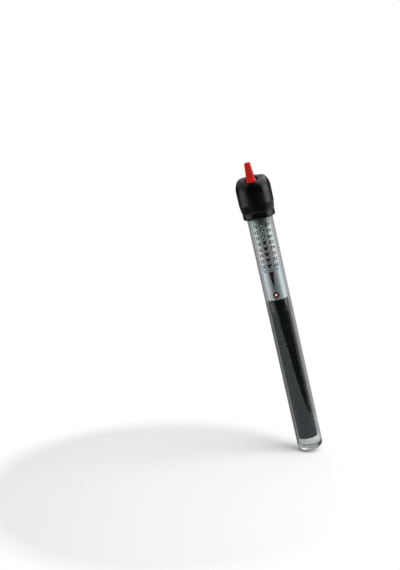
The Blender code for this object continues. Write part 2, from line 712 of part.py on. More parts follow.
def mark_windows():
    """Three-sided cutters, one for each mark, that point down at the mark's line."""
    bm = bmesh.new()
    circle = MARK_WIDTH / math.sqrt(3.0)
    squash = MARK_HEIGHT / (1.5 * circle)
    for row in range(ROW_COUNT):
        tip = z_of(COOLEST_ROW + row * ROW_PITCH)
        centre = Vector((0.0, (SHAFT_Y - TUBE_R) / 2.0, tip + squash * circle))
        shape = Matrix.Diagonal((1.0, 1.0, squash, 1.0))
        lay = Matrix.Rotation(math.radians(90.0), 4, "X")
        point_down = Matrix.Rotation(math.radians(180.0), 4, "Z")
        made = bmesh.ops.create_cone(
            bm, cap_ends=True, segments=3, radius1=circle, radius2=circle,
            depth=TUBE_R + SHAFT_Y)
        bmesh.ops.transform(bm, verts=made["verts"],
                            matrix=Matrix.Translation(centre) @ shape @ lay @ point_down)
    return mesh_object("mark_windows", bm)


def indicator_barrel():
    """Barrel on the shaft, seen through the windows; its colour climbs round it."""
    profile = [
        (SHAFT_HOLE_R, BARREL_TOP),
        (BARREL_R, BARREL_TOP),
        (BARREL_R, BARREL_BOTTOM),
        (SHAFT_HOLE_R, BARREL_BOTTOM),
    ]
    surface = finish("barrel_plastic", (0.85, 0.84, 0.80), 0.4)
    return turned("indicator_barrel", [profile], surface, MID_STEPS, (0.0, SHAFT_Y))


def frame_base_plate():
    """Moulded plate that stands on the separator and carries the lamp and thermostat."""
    surface = finish("base_phenolic", (0.16, 0.07, 0.035), 0.5)
    run = [((0.0, 0.0, FRAME_BOTTOM), (0.0, 0.0, BASE_PLATE_TOP))]
    plate = rods("frame_base_plate", run, PLATE_R, surface, BIG_STEPS)
    low = FRAME_BOTTOM - GAP
    high = BASE_PLATE_TOP + GAP
    ties = rods("base_tie_holes", [((s * TIE_ROD_X, 0.0, low), (s * TIE_ROD_X, 0.0, high))
                                   for s in (-1, 1)], TIE_HOLE_R)
    lead = rods("base_lead_hole", [((-LEAD_DROP, LEAD_DROP, low), (-LEAD_DROP, LEAD_DROP, high))],
                LEAD_HOLE_R)
    feed = rods("base_feed_hole", [((*feed_place(), low), (*feed_place(), high))], FEED_HOLE_R)
    pins = rods("base_rivet_holes", [((x, y, low), (x, y, high)) for x, y in rivet_places()],
                rivet_r() + GAP)
    return cut(plate, ties, lead, feed, pins)


def frame_top_plate():
    """Upper plate: the shaft's step turns on it, and its back is cut off for the leads."""
    surface = finish("top_phenolic", (0.16, 0.07, 0.035), 0.5)
    run = [((0.0, 0.0, TOP_PLATE_BOTTOM), (0.0, 0.0, FRAME_TOP))]
    plate = rods("frame_top_plate", run, PLATE_R, surface, BIG_STEPS)
    low = TOP_PLATE_BOTTOM - GAP
    high = FRAME_TOP + GAP
    ties = rods("top_tie_holes", [((s * TIE_ROD_X, 0.0, low), (s * TIE_ROD_X, 0.0, high))
                                  for s in (-1, 1)], TIE_HOLE_R)
    shaft = rods("top_shaft_hole", [((0.0, SHAFT_Y, low), (0.0, SHAFT_Y, high))], TIP_HOLE_R)
    back = block("top_plate_back", (-TUBE_R, TOP_PLATE_CUT_Y, low), (TUBE_R, TUBE_R, high))
    return cut(plate, ties, shaft, back)


def tie_rod(side, x):
    """Plated rod that hangs the frame from the plug, with its three nuts.

    One nut stands on the base plate and one is each side of the top plate.
    """
    name = side + "_tie_rod"
    run = [((x, 0.0, FRAME_BOTTOM + GAP), (x, 0.0, tie_rod_top()))]
    rods(name, run, TIE_ROD_R, finish(name + "_steel", (0.62, 0.62, 0.62), 0.3, 1.0), 12)
    bottoms = {
        "_base_nut": BASE_PLATE_TOP + GAP,
        "_lower_nut": TOP_PLATE_BOTTOM - GAP - NUT_HEIGHT,
        "_upper_nut": FRAME_TOP + GAP,
    }
    for ending, bottom in bottoms.items():
        name = side + ending
        top = bottom + NUT_HEIGHT
        surface = finish(name + "_steel", (0.66, 0.65, 0.62), 0.3, 1.0)
        nut = rods(name, [((x, 0.0, bottom), (x, 0.0, top))], NUT_R, surface, 6)
        cut(nut, rods(name + "_bore", [((x, 0.0, bottom - GAP), (x, 0.0, top + GAP))], TIE_HOLE_R))


def adjuster_cam():
    """Brass cam whose edge is a spiral: its radius grows evenly with the knob's turn."""
    curve = bpy.data.curves.new("adjuster_cam", "CURVE")
    curve.dimensions = "2D"
    curve.fill_mode = "BOTH"
    curve.extrude = CAM_HEIGHT / 2.0
    points = []
    count = 36
    for step in range(count):
        turn = -TURN_LOW + 360.0 * step / count
        if turn <= TURN_HIGH:
            radius = CAM_REST_R + CAM_RISE * turn / CAM_SWEEP
        else:
            back = (turn - TURN_HIGH) / (360.0 - CAM_SWEEP)
            radius = CAM_LOW_R + CAM_RISE * (1.0 - back)
        angle = math.radians(90.0 + turn)
        points.append((radius * math.cos(angle), radius * math.sin(angle)))
    spline = curve.splines.new("POLY")
    spline.points.add(len(points) - 1)
    for point, (x, y) in zip(spline.points, points):
        point.co = (x, y, 0.0, 1.0)
    spline.use_cyclic_u = True
    outline = place("adjuster_cam", curve)
    outline.location = (0.0, SHAFT_Y, z_of(TAB_H))
    cam = settled(outline, finish("cam_brass", (0.75, 0.55, 0.25), 0.35, 1.0))
    bore = rods("cam_bore", [((0.0, SHAFT_Y, CAM_BOTTOM - GAP), (0.0, SHAFT_Y, CAM_TOP + GAP))],
                TIP_HOLE_R)
    return cut(cam, bore)


def shaft_clip():
    """Spring clip under the top plate that keeps the shaft from being pulled out."""
    profile = [
        (TIP_HOLE_R, CLIP_H + CLIP_THICKNESS),
        (CLIP_R, CLIP_H + CLIP_THICKNESS),
        (CLIP_R, CLIP_H),
        (TIP_HOLE_R, CLIP_H),
    ]
    surface = finish("clip_steel", (0.5, 0.5, 0.5), 0.3, 1.0)
    clip = turned("shaft_clip", [profile], surface, SMALL_STEPS, (0.0, SHAFT_Y))
    mouth = block("clip_mouth", (-SHAFT_TIP_R * 0.8, SHAFT_Y, CLIP_H - GAP),
                  (SHAFT_TIP_R * 0.8, SHAFT_Y + CLIP_R + GAP, TOP_PLATE_BOTTOM))
    return cut(clip, mouth)


def stack_hole(name, front, back):
    """Cutter for the stack screw through layers between two y values."""
    return rods(name, [((0.0, front - GAP / 2.0, STACK_H), (0.0, back + GAP / 2.0, STACK_H))],
                STACK_HOLE_R)


def rivet_hole(name, height, front, back):
    """Cutter for a contact's shank through a leaf."""
    return rods(name, [((0.0, front - GAP / 2.0, height), (0.0, back + GAP / 2.0, height))],
                CONTACT_R / 2.0 + GAP, None, 10)


def contact_height():
    return STACK_H + CONTACT_RISE


def contact_arm():
    """Springy bronze arm, clamped at its foot; the cam pushes the tab at its top."""
    tab = SHAFT_Y + CAM_REST_R + GAP
    path = [(0.0, STACK_H - STACK_FOOT), (0.0, TAB_H), (tab, TAB_H)]
    surface = finish("arm_bronze", (0.66, 0.42, 0.22), 0.3, 1.0)
    arm = bent_strip("contact_arm", path, ARM_WIDTH, ARM_THICKNESS, surface)
    back = -ARM_FRONT
    return cut(arm, stack_hole("arm_screw_hole", ARM_FRONT, back),
               rivet_hole("arm_rivet_hole", contact_height(), ARM_FRONT, back))


def bimetal_strip():
    """Two-metal strip that bends back and opens the contacts when the water is warm."""
    middle = BIMETAL_FRONT + BIMETAL_THICKNESS / 2.0
    back = BIMETAL_FRONT + BIMETAL_THICKNESS
    top = TOP_PLATE_BOTTOM - 4.0 * GAP
    path = [(middle, STACK_H - STACK_FOOT), (middle, top)]
    surface = finish("bimetal", (0.70, 0.62, 0.50), 0.35, 1.0)
    strip = bent_strip("bimetal_strip", path, BIMETAL_WIDTH, BIMETAL_THICKNESS, surface)
    return cut(strip, stack_hole("bimetal_screw_hole", BIMETAL_FRONT, back),
               rivet_hole("bimetal_rivet_hole", contact_height(), BIMETAL_FRONT, back))


def contact(name, leaf_front, leaf_back, facing):
    """Silver contact: a button, a shank through its leaf and a peened tail.

    facing is 1 where the button looks forward and -1 where it looks back.
    """
    button = CONTACT_THICKNESS
    near = -leaf_front if facing > 0 else leaf_back
    far = -leaf_back if facing > 0 else leaf_front
    shank = CONTACT_R / 2.0
    tail = CONTACT_R * 0.75
    profile = [
        (0.0, near + GAP + button),
        (CONTACT_R * 0.8, near + GAP + button),
        (CONTACT_R, near + GAP + button * 0.7),
        (CONTACT_R, near + GAP),
        (shank, near + GAP),
        (shank, far - GAP),
        (tail, far - GAP),
        (tail, far - GAP - button / 2.0),
        (0.0, far - GAP - button / 2.0),
    ]
    surface = finish(name + "_silver", (0.80, 0.80, 0.80), 0.25, 1.0)
    made = turned(name, [profile], surface, SMALL_STEPS, (0.0, contact_height()), True)
    if facing < 0:
        made.rotation_euler = (math.radians(-90.0), 0.0, 0.0)
    return made


def snap_magnet():
    """Small magnet on the arm that snaps the strip shut."""
    width, depth, height = MAGNET_SIZE
    front = -ARM_FRONT + GAP
    bottom = contact_height() + CONTACT_R + GAP
    surface = finish("magnet_ferrite", (0.09, 0.09, 0.10), 0.45, 0.3)
    made = block("snap_magnet", (-width / 2.0, front, bottom),
                 (width / 2.0, front + depth, bottom + height), surface)
    return bevel(made, 0.0002, 1)


def stack_block(name, front, thickness, colour):
    """Insulating block in the clamped stack."""
    half = STACK_BLOCK_WIDTH / 2.0
    tall = STACK_FOOT + 2.0 * GAP
    made = block(name, (-half, front, STACK_H - tall), (half, front + thickness, STACK_H + tall),
                 finish(name + "_phenolic", colour, 0.55))
    bevel(made, 0.0003, 1)
    return cut(made, stack_hole(name + "_hole", front, front + thickness))


def terminal_tag(name, front, reach):
    """Brass solder tag clamped in the stack, with its free end out to one side."""
    low = -STACK_HEAD_R if reach > 0 else reach
    high = reach if reach > 0 else STACK_HEAD_R
    half = TAG_HEIGHT / 2.0
    made = block(name, (low, front, STACK_H - half), (high, front + TAG_THICKNESS, STACK_H + half),
                 finish(name + "_brass", (0.78, 0.62, 0.32), 0.35, 1.0))
    return cut(made, stack_hole(name + "_hole", front, front + TAG_THICKNESS))


def rivet_r():
    return STACK_SCREW_R * 0.6


def rivet_places():
    """Where the bracket's foot is riveted to the base plate."""
    across = BRACKET_WIDTH / 2.0 - 2.0 * STACK_SCREW_R
    return [(side * across, (BIMETAL_FRONT + bracket_foot_front()) / 2.0) for side in (-1, 1)]


def bracket_foot_front():
    """Front edge of the bracket's foot, behind the resistor."""
    return RESISTOR_R * 2.0


def stack_bracket():
    """Bent steel bracket that carries the stack on the base plate."""
    level = BASE_PLATE_TOP + GAP + BRACKET_THICKNESS / 2.0
    back = BRACKET_FRONT + BRACKET_THICKNESS / 2.0
    path = [(bracket_foot_front(), level), (back, level), (back, STACK_H + STACK_FOOT)]
    surface = finish("bracket_steel", (0.60, 0.60, 0.58), 0.35, 1.0)
    made = bent_strip("stack_bracket", path, BRACKET_WIDTH, BRACKET_THICKNESS, surface)
    pins = rods("bracket_rivet_holes",
                [((x, y, BASE_PLATE_TOP), (x, y, level + BRACKET_THICKNESS))
                 for x, y in rivet_places()], rivet_r() + GAP)
    back_face = BRACKET_FRONT + BRACKET_THICKNESS
    return cut(made, stack_hole("bracket_screw_hole", BRACKET_FRONT, back_face), pins)


def bracket_rivet(name, at):
    """Rivet through the bracket's foot and the base plate."""
    under_head = BASE_PLATE_TOP + 2.0 * GAP + BRACKET_THICKNESS
    shank = rivet_r()
    head = shank * 1.9
    profile = [
        (0.0, under_head + 2.0 * GAP),
        (head * 0.7, under_head + 2.0 * GAP),
        (head, under_head + GAP),
        (head, under_head),
        (shank, under_head),
        (shank, FRAME_BOTTOM + GAP),
        (0.0, FRAME_BOTTOM + GAP),
    ]
    surface = finish(name + "_steel", (0.62, 0.62, 0.62), 0.3, 1.0)
    return turned(name, [profile], surface, 10, at)


def stack_screw():
    """Screw that clamps the stack to its bracket; its head is at the front."""
    slot = STACK_HEAD / 3.0
    front = -STACK_HEAD_BACK + STACK_HEAD
    profile = [
        (0.0, front),
        (STACK_HEAD_R * 0.8, front),
        (STACK_HEAD_R, front - slot),
        (STACK_HEAD_R, front - STACK_HEAD),
        (STACK_SCREW_R, front - STACK_HEAD),
        (STACK_SCREW_R, -STACK_END),
        (0.0, -STACK_END),
    ]
    surface = finish("screw_steel", (0.64, 0.64, 0.63), 0.3, 1.0)
    screw = turned("stack_screw", [profile], surface, SMALL_STEPS, (0.0, STACK_H), True)
    groove = block("screw_slot", (-STACK_HEAD_R, -front - GAP, STACK_H - slot / 2.0),
                   (STACK_HEAD_R, -front + slot, STACK_H + slot / 2.0))
    return cut(screw, groove)


def stack_nut():
    surface = finish("stack_nut_brass", (0.78, 0.62, 0.32), 0.35, 1.0)
    run = [((0.0, STACK_NUT_FRONT, STACK_H), (0.0, STACK_NUT_FRONT + NUT_HEIGHT, STACK_H))]
    nut = rods("stack_nut", run, NUT_R * 1.2, surface, 6)
    return cut(nut, stack_hole("nut_bore", STACK_NUT_FRONT, STACK_NUT_FRONT + NUT_HEIGHT))


def neon_lamp():
    """Neon bulb lying on the base plate with its round tip behind the card's hole."""
    tip = -LAMP_TIP
    base = -LAMP_BACK
    dome = arc(0.0, tip - LAMP_R, LAMP_R, 90.0, 0.0, 5)
    profile = dome + [(LAMP_R, base + GAP), (LAMP_R - GAP, base), (0.0, base)]
    profile[0] = (0.0, tip)
    surface = finish("neon_glass", (1.0, 0.35, 0.2), 0.1, glow=2.0)
    return turned("neon_lamp", [profile], surface, MID_STEPS, (0.0, LAMP_H), True)


def lamp_lens():
    """Dark red ring in the card's hole, round the lamp's bright tip."""
    back = -LENS_BACK
    front = back + LENS_THICKNESS
    profile = [
        (LENS_BORE_R, front - GAP),
        (LENS_BORE_R + GAP, front),
        (LENS_R - GAP, front),
        (LENS_R, front - GAP),
        (LENS_R, back),
        (LENS_BORE_R, back),
    ]
    surface = finish("lens_plastic", (0.35, 0.01, 0.01), 0.2)
    return turned("lamp_lens", [profile], surface, MID_STEPS, (0.0, LAMP_H), True)


def resistor_place():
    """Y and height of the resistor's axis: behind the lamp, just above the base plate."""
    return LAMP_BACK + 2.0 * GAP + RESISTOR_R, BASE_PLATE_TOP + GAP + RESISTOR_R


def lamp_resistor():
    """Series resistor of the lamp, lying across the base plate."""
    y, height = resistor_place()
    half = RESISTOR_LENGTH / 2.0
    surface = finish("resistor_body", (0.66, 0.52, 0.36), 0.4)
    made = rods("lamp_resistor", [((-half, y, height), (half, y, height))], RESISTOR_R, surface)
    return bevel(made, 0.0002, 1)


def lamp_wires():
    """Fine wires: lamp to load tag, lamp to resistor, and resistor to the neutral lead."""
    y, low = resistor_place()
    lamp_back = LAMP_BACK + GAP
    rise = LAMP_H + LAMP_R / 2.0
    side = LAMP_R * 0.4
    end = RESISTOR_LENGTH / 2.0 + GAP
    tag = LOAD_TAG_FRONT - GAP - FINE_WIRE_R
    out = end + 0.0012
    to_tag = [
        (-side, lamp_back, rise),
        (-side * 2.2, lamp_back + 0.0003, rise),
        (-end, tag - 0.0001, rise + 0.0002),
        (-end - 0.0003, tag, STACK_H - TAG_HEIGHT / 3.0),
    ]
    to_resistor = [
        (side, lamp_back, rise),
        (end - 0.0006, lamp_back + 0.0003, rise - 0.0002),
        (out, y - 0.0003, rise - 0.0008),
        (out + 0.0002, y, low + 0.0005),
        (out - 0.0004, y, low),
        (end, y, low),
    ]
    to_neutral = [
        (-end, y, low),
        (-out - 0.0001, y + 0.0002, low),
        (-LEAD_DROP - 0.0004, y + 0.0026, low + 0.0004),
        (-LEAD_DROP, LEAD_DROP - LEAD_R - GAP - FINE_WIRE_R, low + 0.0008),
    ]
    routes = {
        "lamp_tag_wire": to_tag,
        "lamp_resistor_wire": to_resistor,
        "resistor_neutral_wire": to_neutral,
    }
    for name, route in routes.items():
        wire(name, route, FINE_WIRE_R, finish(name + "_tin", (0.72, 0.70, 0.66), 0.35, 1.0))


def feed_place():
    """X and y where the feed wire meets the coil."""
    angle = math.radians(FEED_ANGLE)
    return COIL_R * math.cos(angle), COIL_R * math.sin(angle)


def live_lead():
    """Insulated lead from the cord's place in the plug to the bimetal's tag."""
    tag = LIVE_TAG_FRONT + TAG_THICKNESS / 2.0
    route = [
        (LEAD_HOLE_X, CORD_BORE_Y, PLUG_TOP),
        (LEAD_HOLE_X, CORD_BORE_Y, PLUG_BOTTOM - LEAD_R),
        (LEAD_DROP, LEAD_DROP, PLUG_BOTTOM - LEAD_SETTLE),
        (LEAD_DROP, LEAD_DROP, STACK_H + LEAD_TURN),
        (LEAD_DROP, tag, STACK_H + LEAD_ARRIVAL),
        (LEAD_DROP, tag, STACK_H + TAG_HEIGHT / 2.0 + GAP),
    ]
    surface = finish("live_insulation", (0.20, 0.07, 0.03), 0.5)
    return wire("live_lead", rounded(route, 0.0015), LEAD_R, surface, 2)


def neutral_lead():
    """Insulated lead from the plug down past the thermostat and through the core's bore."""
    down = (-LEAD_DROP, LEAD_DROP)
    foot = CORE_BOTTOM + CORE_FLANGE / 2.0
    bend = SEPARATOR_RECESS / 6.0
    route = [
        (-LEAD_HOLE_X, CORD_BORE_Y, PLUG_TOP),
        (-LEAD_HOLE_X, CORD_BORE_Y, PLUG_BOTTOM - LEAD_R),
        (*down, PLUG_BOTTOM - LEAD_SETTLE),
        (*down, SEPARATOR_BOTTOM + SEPARATOR_RECESS - bend),
        (0.0, 0.0, SEPARATOR_BOTTOM + bend),
        (0.0, 0.0, foot),
        (COIL_R, 0.0, foot),
    ]
    surface = finish("neutral_insulation", (0.03, 0.07, 0.22), 0.5)
    return wire("neutral_lead", rounded(route, 0.0015), LEAD_R, surface, 2)


def coil_feed_wire():
    """Wire from the load tag down through the separator to the top of the coil."""
    x, y = feed_place()
    tag_x = -LEAD_DROP
    tag_y = LOAD_TAG_FRONT + TAG_THICKNESS / 2.0
    tag_h = STACK_H - TAG_HEIGHT / 2.0
    route = [
        (tag_x, tag_y, tag_h - GAP),
        (tag_x, tag_y, tag_h - 0.0010),
        (x, y, BASE_PLATE_TOP + 0.0006),
        (x, y, CORE_TOP - CORE_FLANGE / 2.0),
    ]
    surface = finish("feed_insulation", (0.75, 0.74, 0.70), 0.5)
    return wire("coil_feed_wire", rounded(route, 0.0010), FEED_R, surface)


def separator_plug():
    """Black moulding that closes the heater chamber off from the thermostat."""
    recess_r = SEPARATOR_R - SEPARATOR_WALL
    edge = 0.0004
    profile = [
        (0.0, SEPARATOR_TOP),
        (SEPARATOR_R - edge, SEPARATOR_TOP),
        (SEPARATOR_R, SEPARATOR_TOP - edge),
        (SEPARATOR_R, SEPARATOR_BOTTOM),
        (recess_r, SEPARATOR_BOTTOM),
        (recess_r, SEPARATOR_BOTTOM + SEPARATOR_RECESS),
        (0.0, SEPARATOR_BOTTOM + SEPARATOR_RECESS),
    ]
    surface = finish("separator_moulding", (0.015, 0.015, 0.016), 0.3)
    plug = turned("separator_plug", [profile], surface, BIG_STEPS)
    low = SEPARATOR_BOTTOM
    high = SEPARATOR_TOP + GAP
    lead = rods("separator_lead_hole", [((-LEAD_DROP, LEAD_DROP, low),
                                         (-LEAD_DROP, LEAD_DROP, high))], LEAD_HOLE_R)
    feed = rods("separator_feed_hole", [((*feed_place(), low), (*feed_place(), high))],
                FEED_HOLE_R)
    return cut(plug, lead, feed)


def heater_sleeve():
    """Glossy black sleeve round the wound core."""
    profile = [
        (SLEEVE_BORE_R, SLEEVE_TOP),
        (SLEEVE_R, SLEEVE_TOP),
        (SLEEVE_R, SLEEVE_BOTTOM),
        (SLEEVE_BORE_R, SLEEVE_BOTTOM),
    ]
    surface = finish("sleeve_enamel", (0.012, 0.012, 0.013), 0.12)
    return turned("heater_sleeve", [profile], surface, BIG_STEPS)


def ceramic_core():
    """Ceramic former with a flange at each end and a bore for the return lead."""
    low_flange = CORE_BOTTOM + CORE_FLANGE
    high_flange = CORE_TOP - CORE_FLANGE
    profile = [
        (CORE_BORE_R, CORE_TOP),
        (CORE_FLANGE_R, CORE_TOP),
        (CORE_FLANGE_R, high_flange),
        (CORE_R, high_flange),
        (CORE_R, low_flange),
        (CORE_FLANGE_R, low_flange),
        (CORE_FLANGE_R, CORE_BOTTOM),
        (CORE_BORE_R, CORE_BOTTOM),
    ]
    surface = finish("core_ceramic", (0.82, 0.78, 0.70), 0.7)
    core = turned("ceramic_core", [profile], surface, MID_STEPS)
    foot = CORE_BOTTOM + CORE_FLANGE / 2.0
    cross = rods("core_cross_hole", [((0.0, 0.0, foot), (SLEEVE_R, 0.0, foot))], LEAD_HOLE_R)
    slot_r = HEATING_WIRE_R + GAP
    low_slot = rods("core_low_slot", [((COIL_R, 0.0, foot), (COIL_R, 0.0, low_flange + GAP))],
                    slot_r, None, 10)
    high_slot = rods("core_high_slot", [((*feed_place(), high_flange - GAP),
                                         (*feed_place(), CORE_TOP + GAP))], FEED_HOLE_R, None, 10)
    return cut(core, cross, low_slot, high_slot)


def coil_points():
    """Heating wire: up from the return lead, round the core, and up to the feed wire."""
    foot = CORE_BOTTOM + CORE_FLANGE / 2.0 + LEAD_R + GAP
    first = CORE_BOTTOM + CORE_FLANGE + 3.0 * HEATING_WIRE_R
    last = CORE_TOP - CORE_FLANGE - 3.0 * HEATING_WIRE_R
    sweep = COIL_TURNS * 360.0 + FEED_ANGLE
    count = round(sweep * COIL_POINTS / 360.0)
    points = [(COIL_R, 0.0, foot), (COIL_R, 0.0, first - 2.0 * HEATING_WIRE_R)]
    for step in range(count + 1):
        angle = math.radians(sweep * step / count)
        height = first + (last - first) * step / count
        points.append((COIL_R * math.cos(angle), COIL_R * math.sin(angle), height))
    end = CORE_TOP - CORE_FLANGE / 2.0 - GAP
    points.append((*feed_place(), last + 2.0 * HEATING_WIRE_R))
    points.append((*feed_place(), end))
    return points


def least_gap(points, radius):
    """Least space between two turns, measured between the coil's own points."""
    least = math.inf
    apart = COIL_POINTS // 2
    for index, point in enumerate(points):
        for other in points[index + apart:]:
            least = min(least, math.dist(point, other) - 2.0 * radius)
    return least


def heating_coil():
    """Resistance wire wound in one layer on the core."""
    points = coil_points()
    gap = least_gap(points, HEATING_WIRE_R) * 1000.0
    print("heating_coil least gap between turns, mm:", round(gap, 2))
    surface = finish("resistance_wire", (0.42, 0.40, 0.38), 0.4, 1.0)
    return wire("heating_coil", points, HEATING_WIRE_R, surface)


def end_pad():
    """White ceramic-fibre pad that seats the core in the rounded end of the glass."""
    radius = TUBE_INNER_CORNER_R + PAD_CLEARANCE
    lower = arc(PAD_R - radius, PAD_BOTTOM + radius, radius, 0.0, -90.0, 5)
    edge = 0.0003
    profile = [(0.0, PAD_TOP), (PAD_R - edge, PAD_TOP), (PAD_R, PAD_TOP - edge)]
    profile += lower + [(0.0, PAD_BOTTOM)]
    surface = finish("ceramic_fibre", (0.72, 0.72, 0.70), 0.9)
    return turned("end_pad", [profile], surface, BIG_STEPS)


def build():
    clear_scene()
    glass_tube()
    rubber_cap()
    head_plug()
    shaft_bush()
    for name, height in zip(("lower_seal_ring", "upper_seal_ring"), ring_heights()):
        seal_ring(name, height)
    scale_card()
    frame_base_plate()
    frame_top_plate()
    tie_rod("left", -TIE_ROD_X)
    tie_rod("right", TIE_ROD_X)
    stack_bracket()
    for name, at in zip(("left_bracket_rivet", "right_bracket_rivet"), rivet_places()):
        bracket_rivet(name, at)
    stack_screw()
    stack_nut()
    stack_block("stack_spacer", SPACER_FRONT, SPACER_THICKNESS, (0.16, 0.07, 0.035))
    stack_block("stack_back_block", BACK_BLOCK_FRONT, BACK_BLOCK, (0.16, 0.07, 0.035))
    terminal_tag("load_terminal", LOAD_TAG_FRONT, -TAG_REACH)
    terminal_tag("live_terminal", LIVE_TAG_FRONT, TAG_REACH)
    neon_lamp()
    lamp_lens()
    lamp_resistor()
    lamp_wires()
    live_lead()
    neutral_lead()
    coil_feed_wire()
    separator_plug()
    heater_sleeve()
    ceramic_core()
    heating_coil()
    end_pad()
    turning = [adjusting_knob(), adjuster_shaft(), indicator_barrel(), adjuster_cam(), shaft_clip()]
    pivot("adjuster_axis", (0.0, SHAFT_Y, z_of(KNOB_BASE)), turning)
    arm_contact = contact("arm_contact", ARM_FRONT, -ARM_FRONT, -1)
    pivot("arm_axis", (0.0, 0.0, z_of(STACK_H)), [contact_arm(), arm_contact, snap_magnet()])
    bimetal_back = BIMETAL_FRONT + BIMETAL_THICKNESS
    strip_contact = contact("bimetal_contact", BIMETAL_FRONT, bimetal_back, 1)
    strip_middle = BIMETAL_FRONT + BIMETAL_THICKNESS / 2.0
    pivot("bimetal_axis", (0.0, strip_middle, z_of(STACK_H)), [bimetal_strip(), strip_contact])


build()
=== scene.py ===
import math

import bpy
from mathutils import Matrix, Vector


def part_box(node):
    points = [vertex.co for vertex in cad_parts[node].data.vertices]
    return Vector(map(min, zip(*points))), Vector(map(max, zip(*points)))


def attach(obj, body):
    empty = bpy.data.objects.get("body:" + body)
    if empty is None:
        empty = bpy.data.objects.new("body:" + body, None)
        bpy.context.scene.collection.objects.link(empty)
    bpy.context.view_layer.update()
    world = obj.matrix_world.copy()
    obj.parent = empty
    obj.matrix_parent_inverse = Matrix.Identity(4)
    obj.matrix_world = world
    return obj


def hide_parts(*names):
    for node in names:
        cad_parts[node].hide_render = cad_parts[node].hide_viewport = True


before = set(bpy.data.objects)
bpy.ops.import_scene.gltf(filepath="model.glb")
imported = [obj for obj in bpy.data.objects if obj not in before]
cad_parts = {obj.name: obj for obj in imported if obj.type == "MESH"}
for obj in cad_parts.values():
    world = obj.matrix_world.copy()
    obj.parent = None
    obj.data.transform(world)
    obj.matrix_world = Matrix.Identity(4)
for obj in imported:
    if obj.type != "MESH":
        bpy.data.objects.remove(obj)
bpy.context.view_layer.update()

# ---- Heating core ------------------------------------------------------------------------
# The real piece is a fired ceramic former wound with resistance wire, with a glass-fibre
# covered feed wire going down through it. It is pushed up into the sleeve before the sleeve
# is closed by the pad, so it only shows through the open ends.

# Sizes are in millimetres from here on, and heights are counted up from the glass foot.
MM = 0.001
FOOT_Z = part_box("glass_tube")[0].z


def up(height):
    """The frame's z of a height in millimetres above the glass foot."""
    return FOOT_Z + height * MM


def linear(code):
    """A #rrggbb colour as a shader takes it."""
    parts = [int(code[place:place + 2], 16) / 255.0 for place in (1, 3, 5)]
    return (*(p / 12.92 if p <= 0.04045 else ((p + 0.055) / 1.055) ** 2.4 for p in parts), 1.0)


def add(tree, kind, sockets=None, **settings):
    """Add a node with its settings, and give each socket a value or another node's output."""
    node = tree.nodes.new("ShaderNode" + kind)
    for name, value in settings.items():
        setattr(node, name, value)
    for name, value in (sockets or {}).items():
        if isinstance(value, bpy.types.NodeSocket):
            tree.links.new(value, node.inputs[name])
        else:
            node.inputs[name].default_value = value
    return node


def blank(name):
    """A new material with no nodes yet."""
    made = bpy.data.materials.new(name)
    made.use_nodes = True
    made.node_tree.nodes.clear()
    return made, made.node_tree


def clouds(tree, grain, along=1.0, detail=3.0):
    """A 0 to 1 pattern with spots of that many millimetres, drawn out along the tube."""
    place = add(tree, "TexCoord").outputs["Object"]
    drawn = add(tree, "Mapping", {"Vector": place, "Scale": (1.0, 1.0, 1.0 / along)})
    noise = add(tree, "TexNoise", {"Vector": drawn.outputs[0], "Scale": 1.0 / (grain * MM),
                                   "Detail": detail})
    return add(tree, "MapRange", {"Value": noise.outputs[0], "From Min": 0.32,
                                  "From Max": 0.68}).outputs[0]


def finish(name, dark, light, grain, rough, metal=0.0, relief=0.0, along=1.0, shine=0.5):
    """A surface of two near colours in spots of grain mm, with roughness between the two
    values, relief in millimetres and shine as the specular level."""
    made, tree = blank(name)
    spots = clouds(tree, grain, along)
    tint = add(tree, "Mix", {0: spots, 6: linear(dark), 7: linear(light)}, data_type="RGBA")
    gloss = add(tree, "MapRange", {"Value": spots, "To Min": rough[0], "To Max": rough[1]})
    shader = add(tree, "BsdfPrincipled", {
        "Base Color": tint.outputs[2], "Roughness": gloss.outputs[0], "Metallic": metal,
        "Specular IOR Level": shine})
    if relief:
        fine = clouds(tree, grain / 2.5, along)
        bump = add(tree, "Bump", {"Height": fine, "Distance": relief * MM})
        tree.links.new(bump.outputs[0], shader.inputs["Normal"])
    add(tree, "OutputMaterial", {"Surface": shader.outputs[0]})
    return made


def settle(piece, surface, body, slot, *nodes):
    """Give a piece its surface, its body and the CAD nodes that it stands for. The slot is not
    used.
    """
    piece.data.materials.clear()
    piece.data.materials.append(surface)
    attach(piece, body)
    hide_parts(*nodes)


def only(piece):
    """Select this object alone."""
    bpy.ops.object.select_all(action="DESELECT")
    piece.select_set(True)
    bpy.context.view_layer.objects.active = piece


def applied(piece, kind, **settings):
    """Add a modifier with its settings and apply it."""
    only(piece)
    modifier = piece.modifiers.new(kind.lower(), kind)
    for name, value in settings.items():
        setattr(modifier, name, value)
    bpy.ops.object.modifier_apply(modifier=modifier.name)


def smooth(piece, angle=35.0):
    """Shade smooth over every edge that bends less than angle."""
    only(piece)
    bpy.ops.object.shade_smooth_by_angle(angle=math.radians(angle))


def fair_copy(node, surface, body, slot, edge=0.08, angle=40.0):
    """A CAD node's copy with its triangles joined, its edges eased and its rounds smooth."""
    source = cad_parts[node]
    piece = bpy.data.objects.new("fair_" + node, source.data.copy())
    bpy.context.scene.collection.objects.link(piece)
    only(piece)
    bpy.ops.object.mode_set(mode="EDIT")
    bpy.ops.mesh.select_all(action="SELECT")
    bpy.ops.mesh.remove_doubles(threshold=0.001 * MM)
    bpy.ops.mesh.dissolve_limited(angle_limit=math.radians(1.0))
    bpy.ops.object.mode_set(mode="OBJECT")
    if edge:
        applied(piece, "BEVEL", width=edge * MM, segments=2, limit_method="ANGLE",
                angle_limit=math.radians(angle))
    smooth(piece, angle)
    settle(piece, surface, body, slot, node)


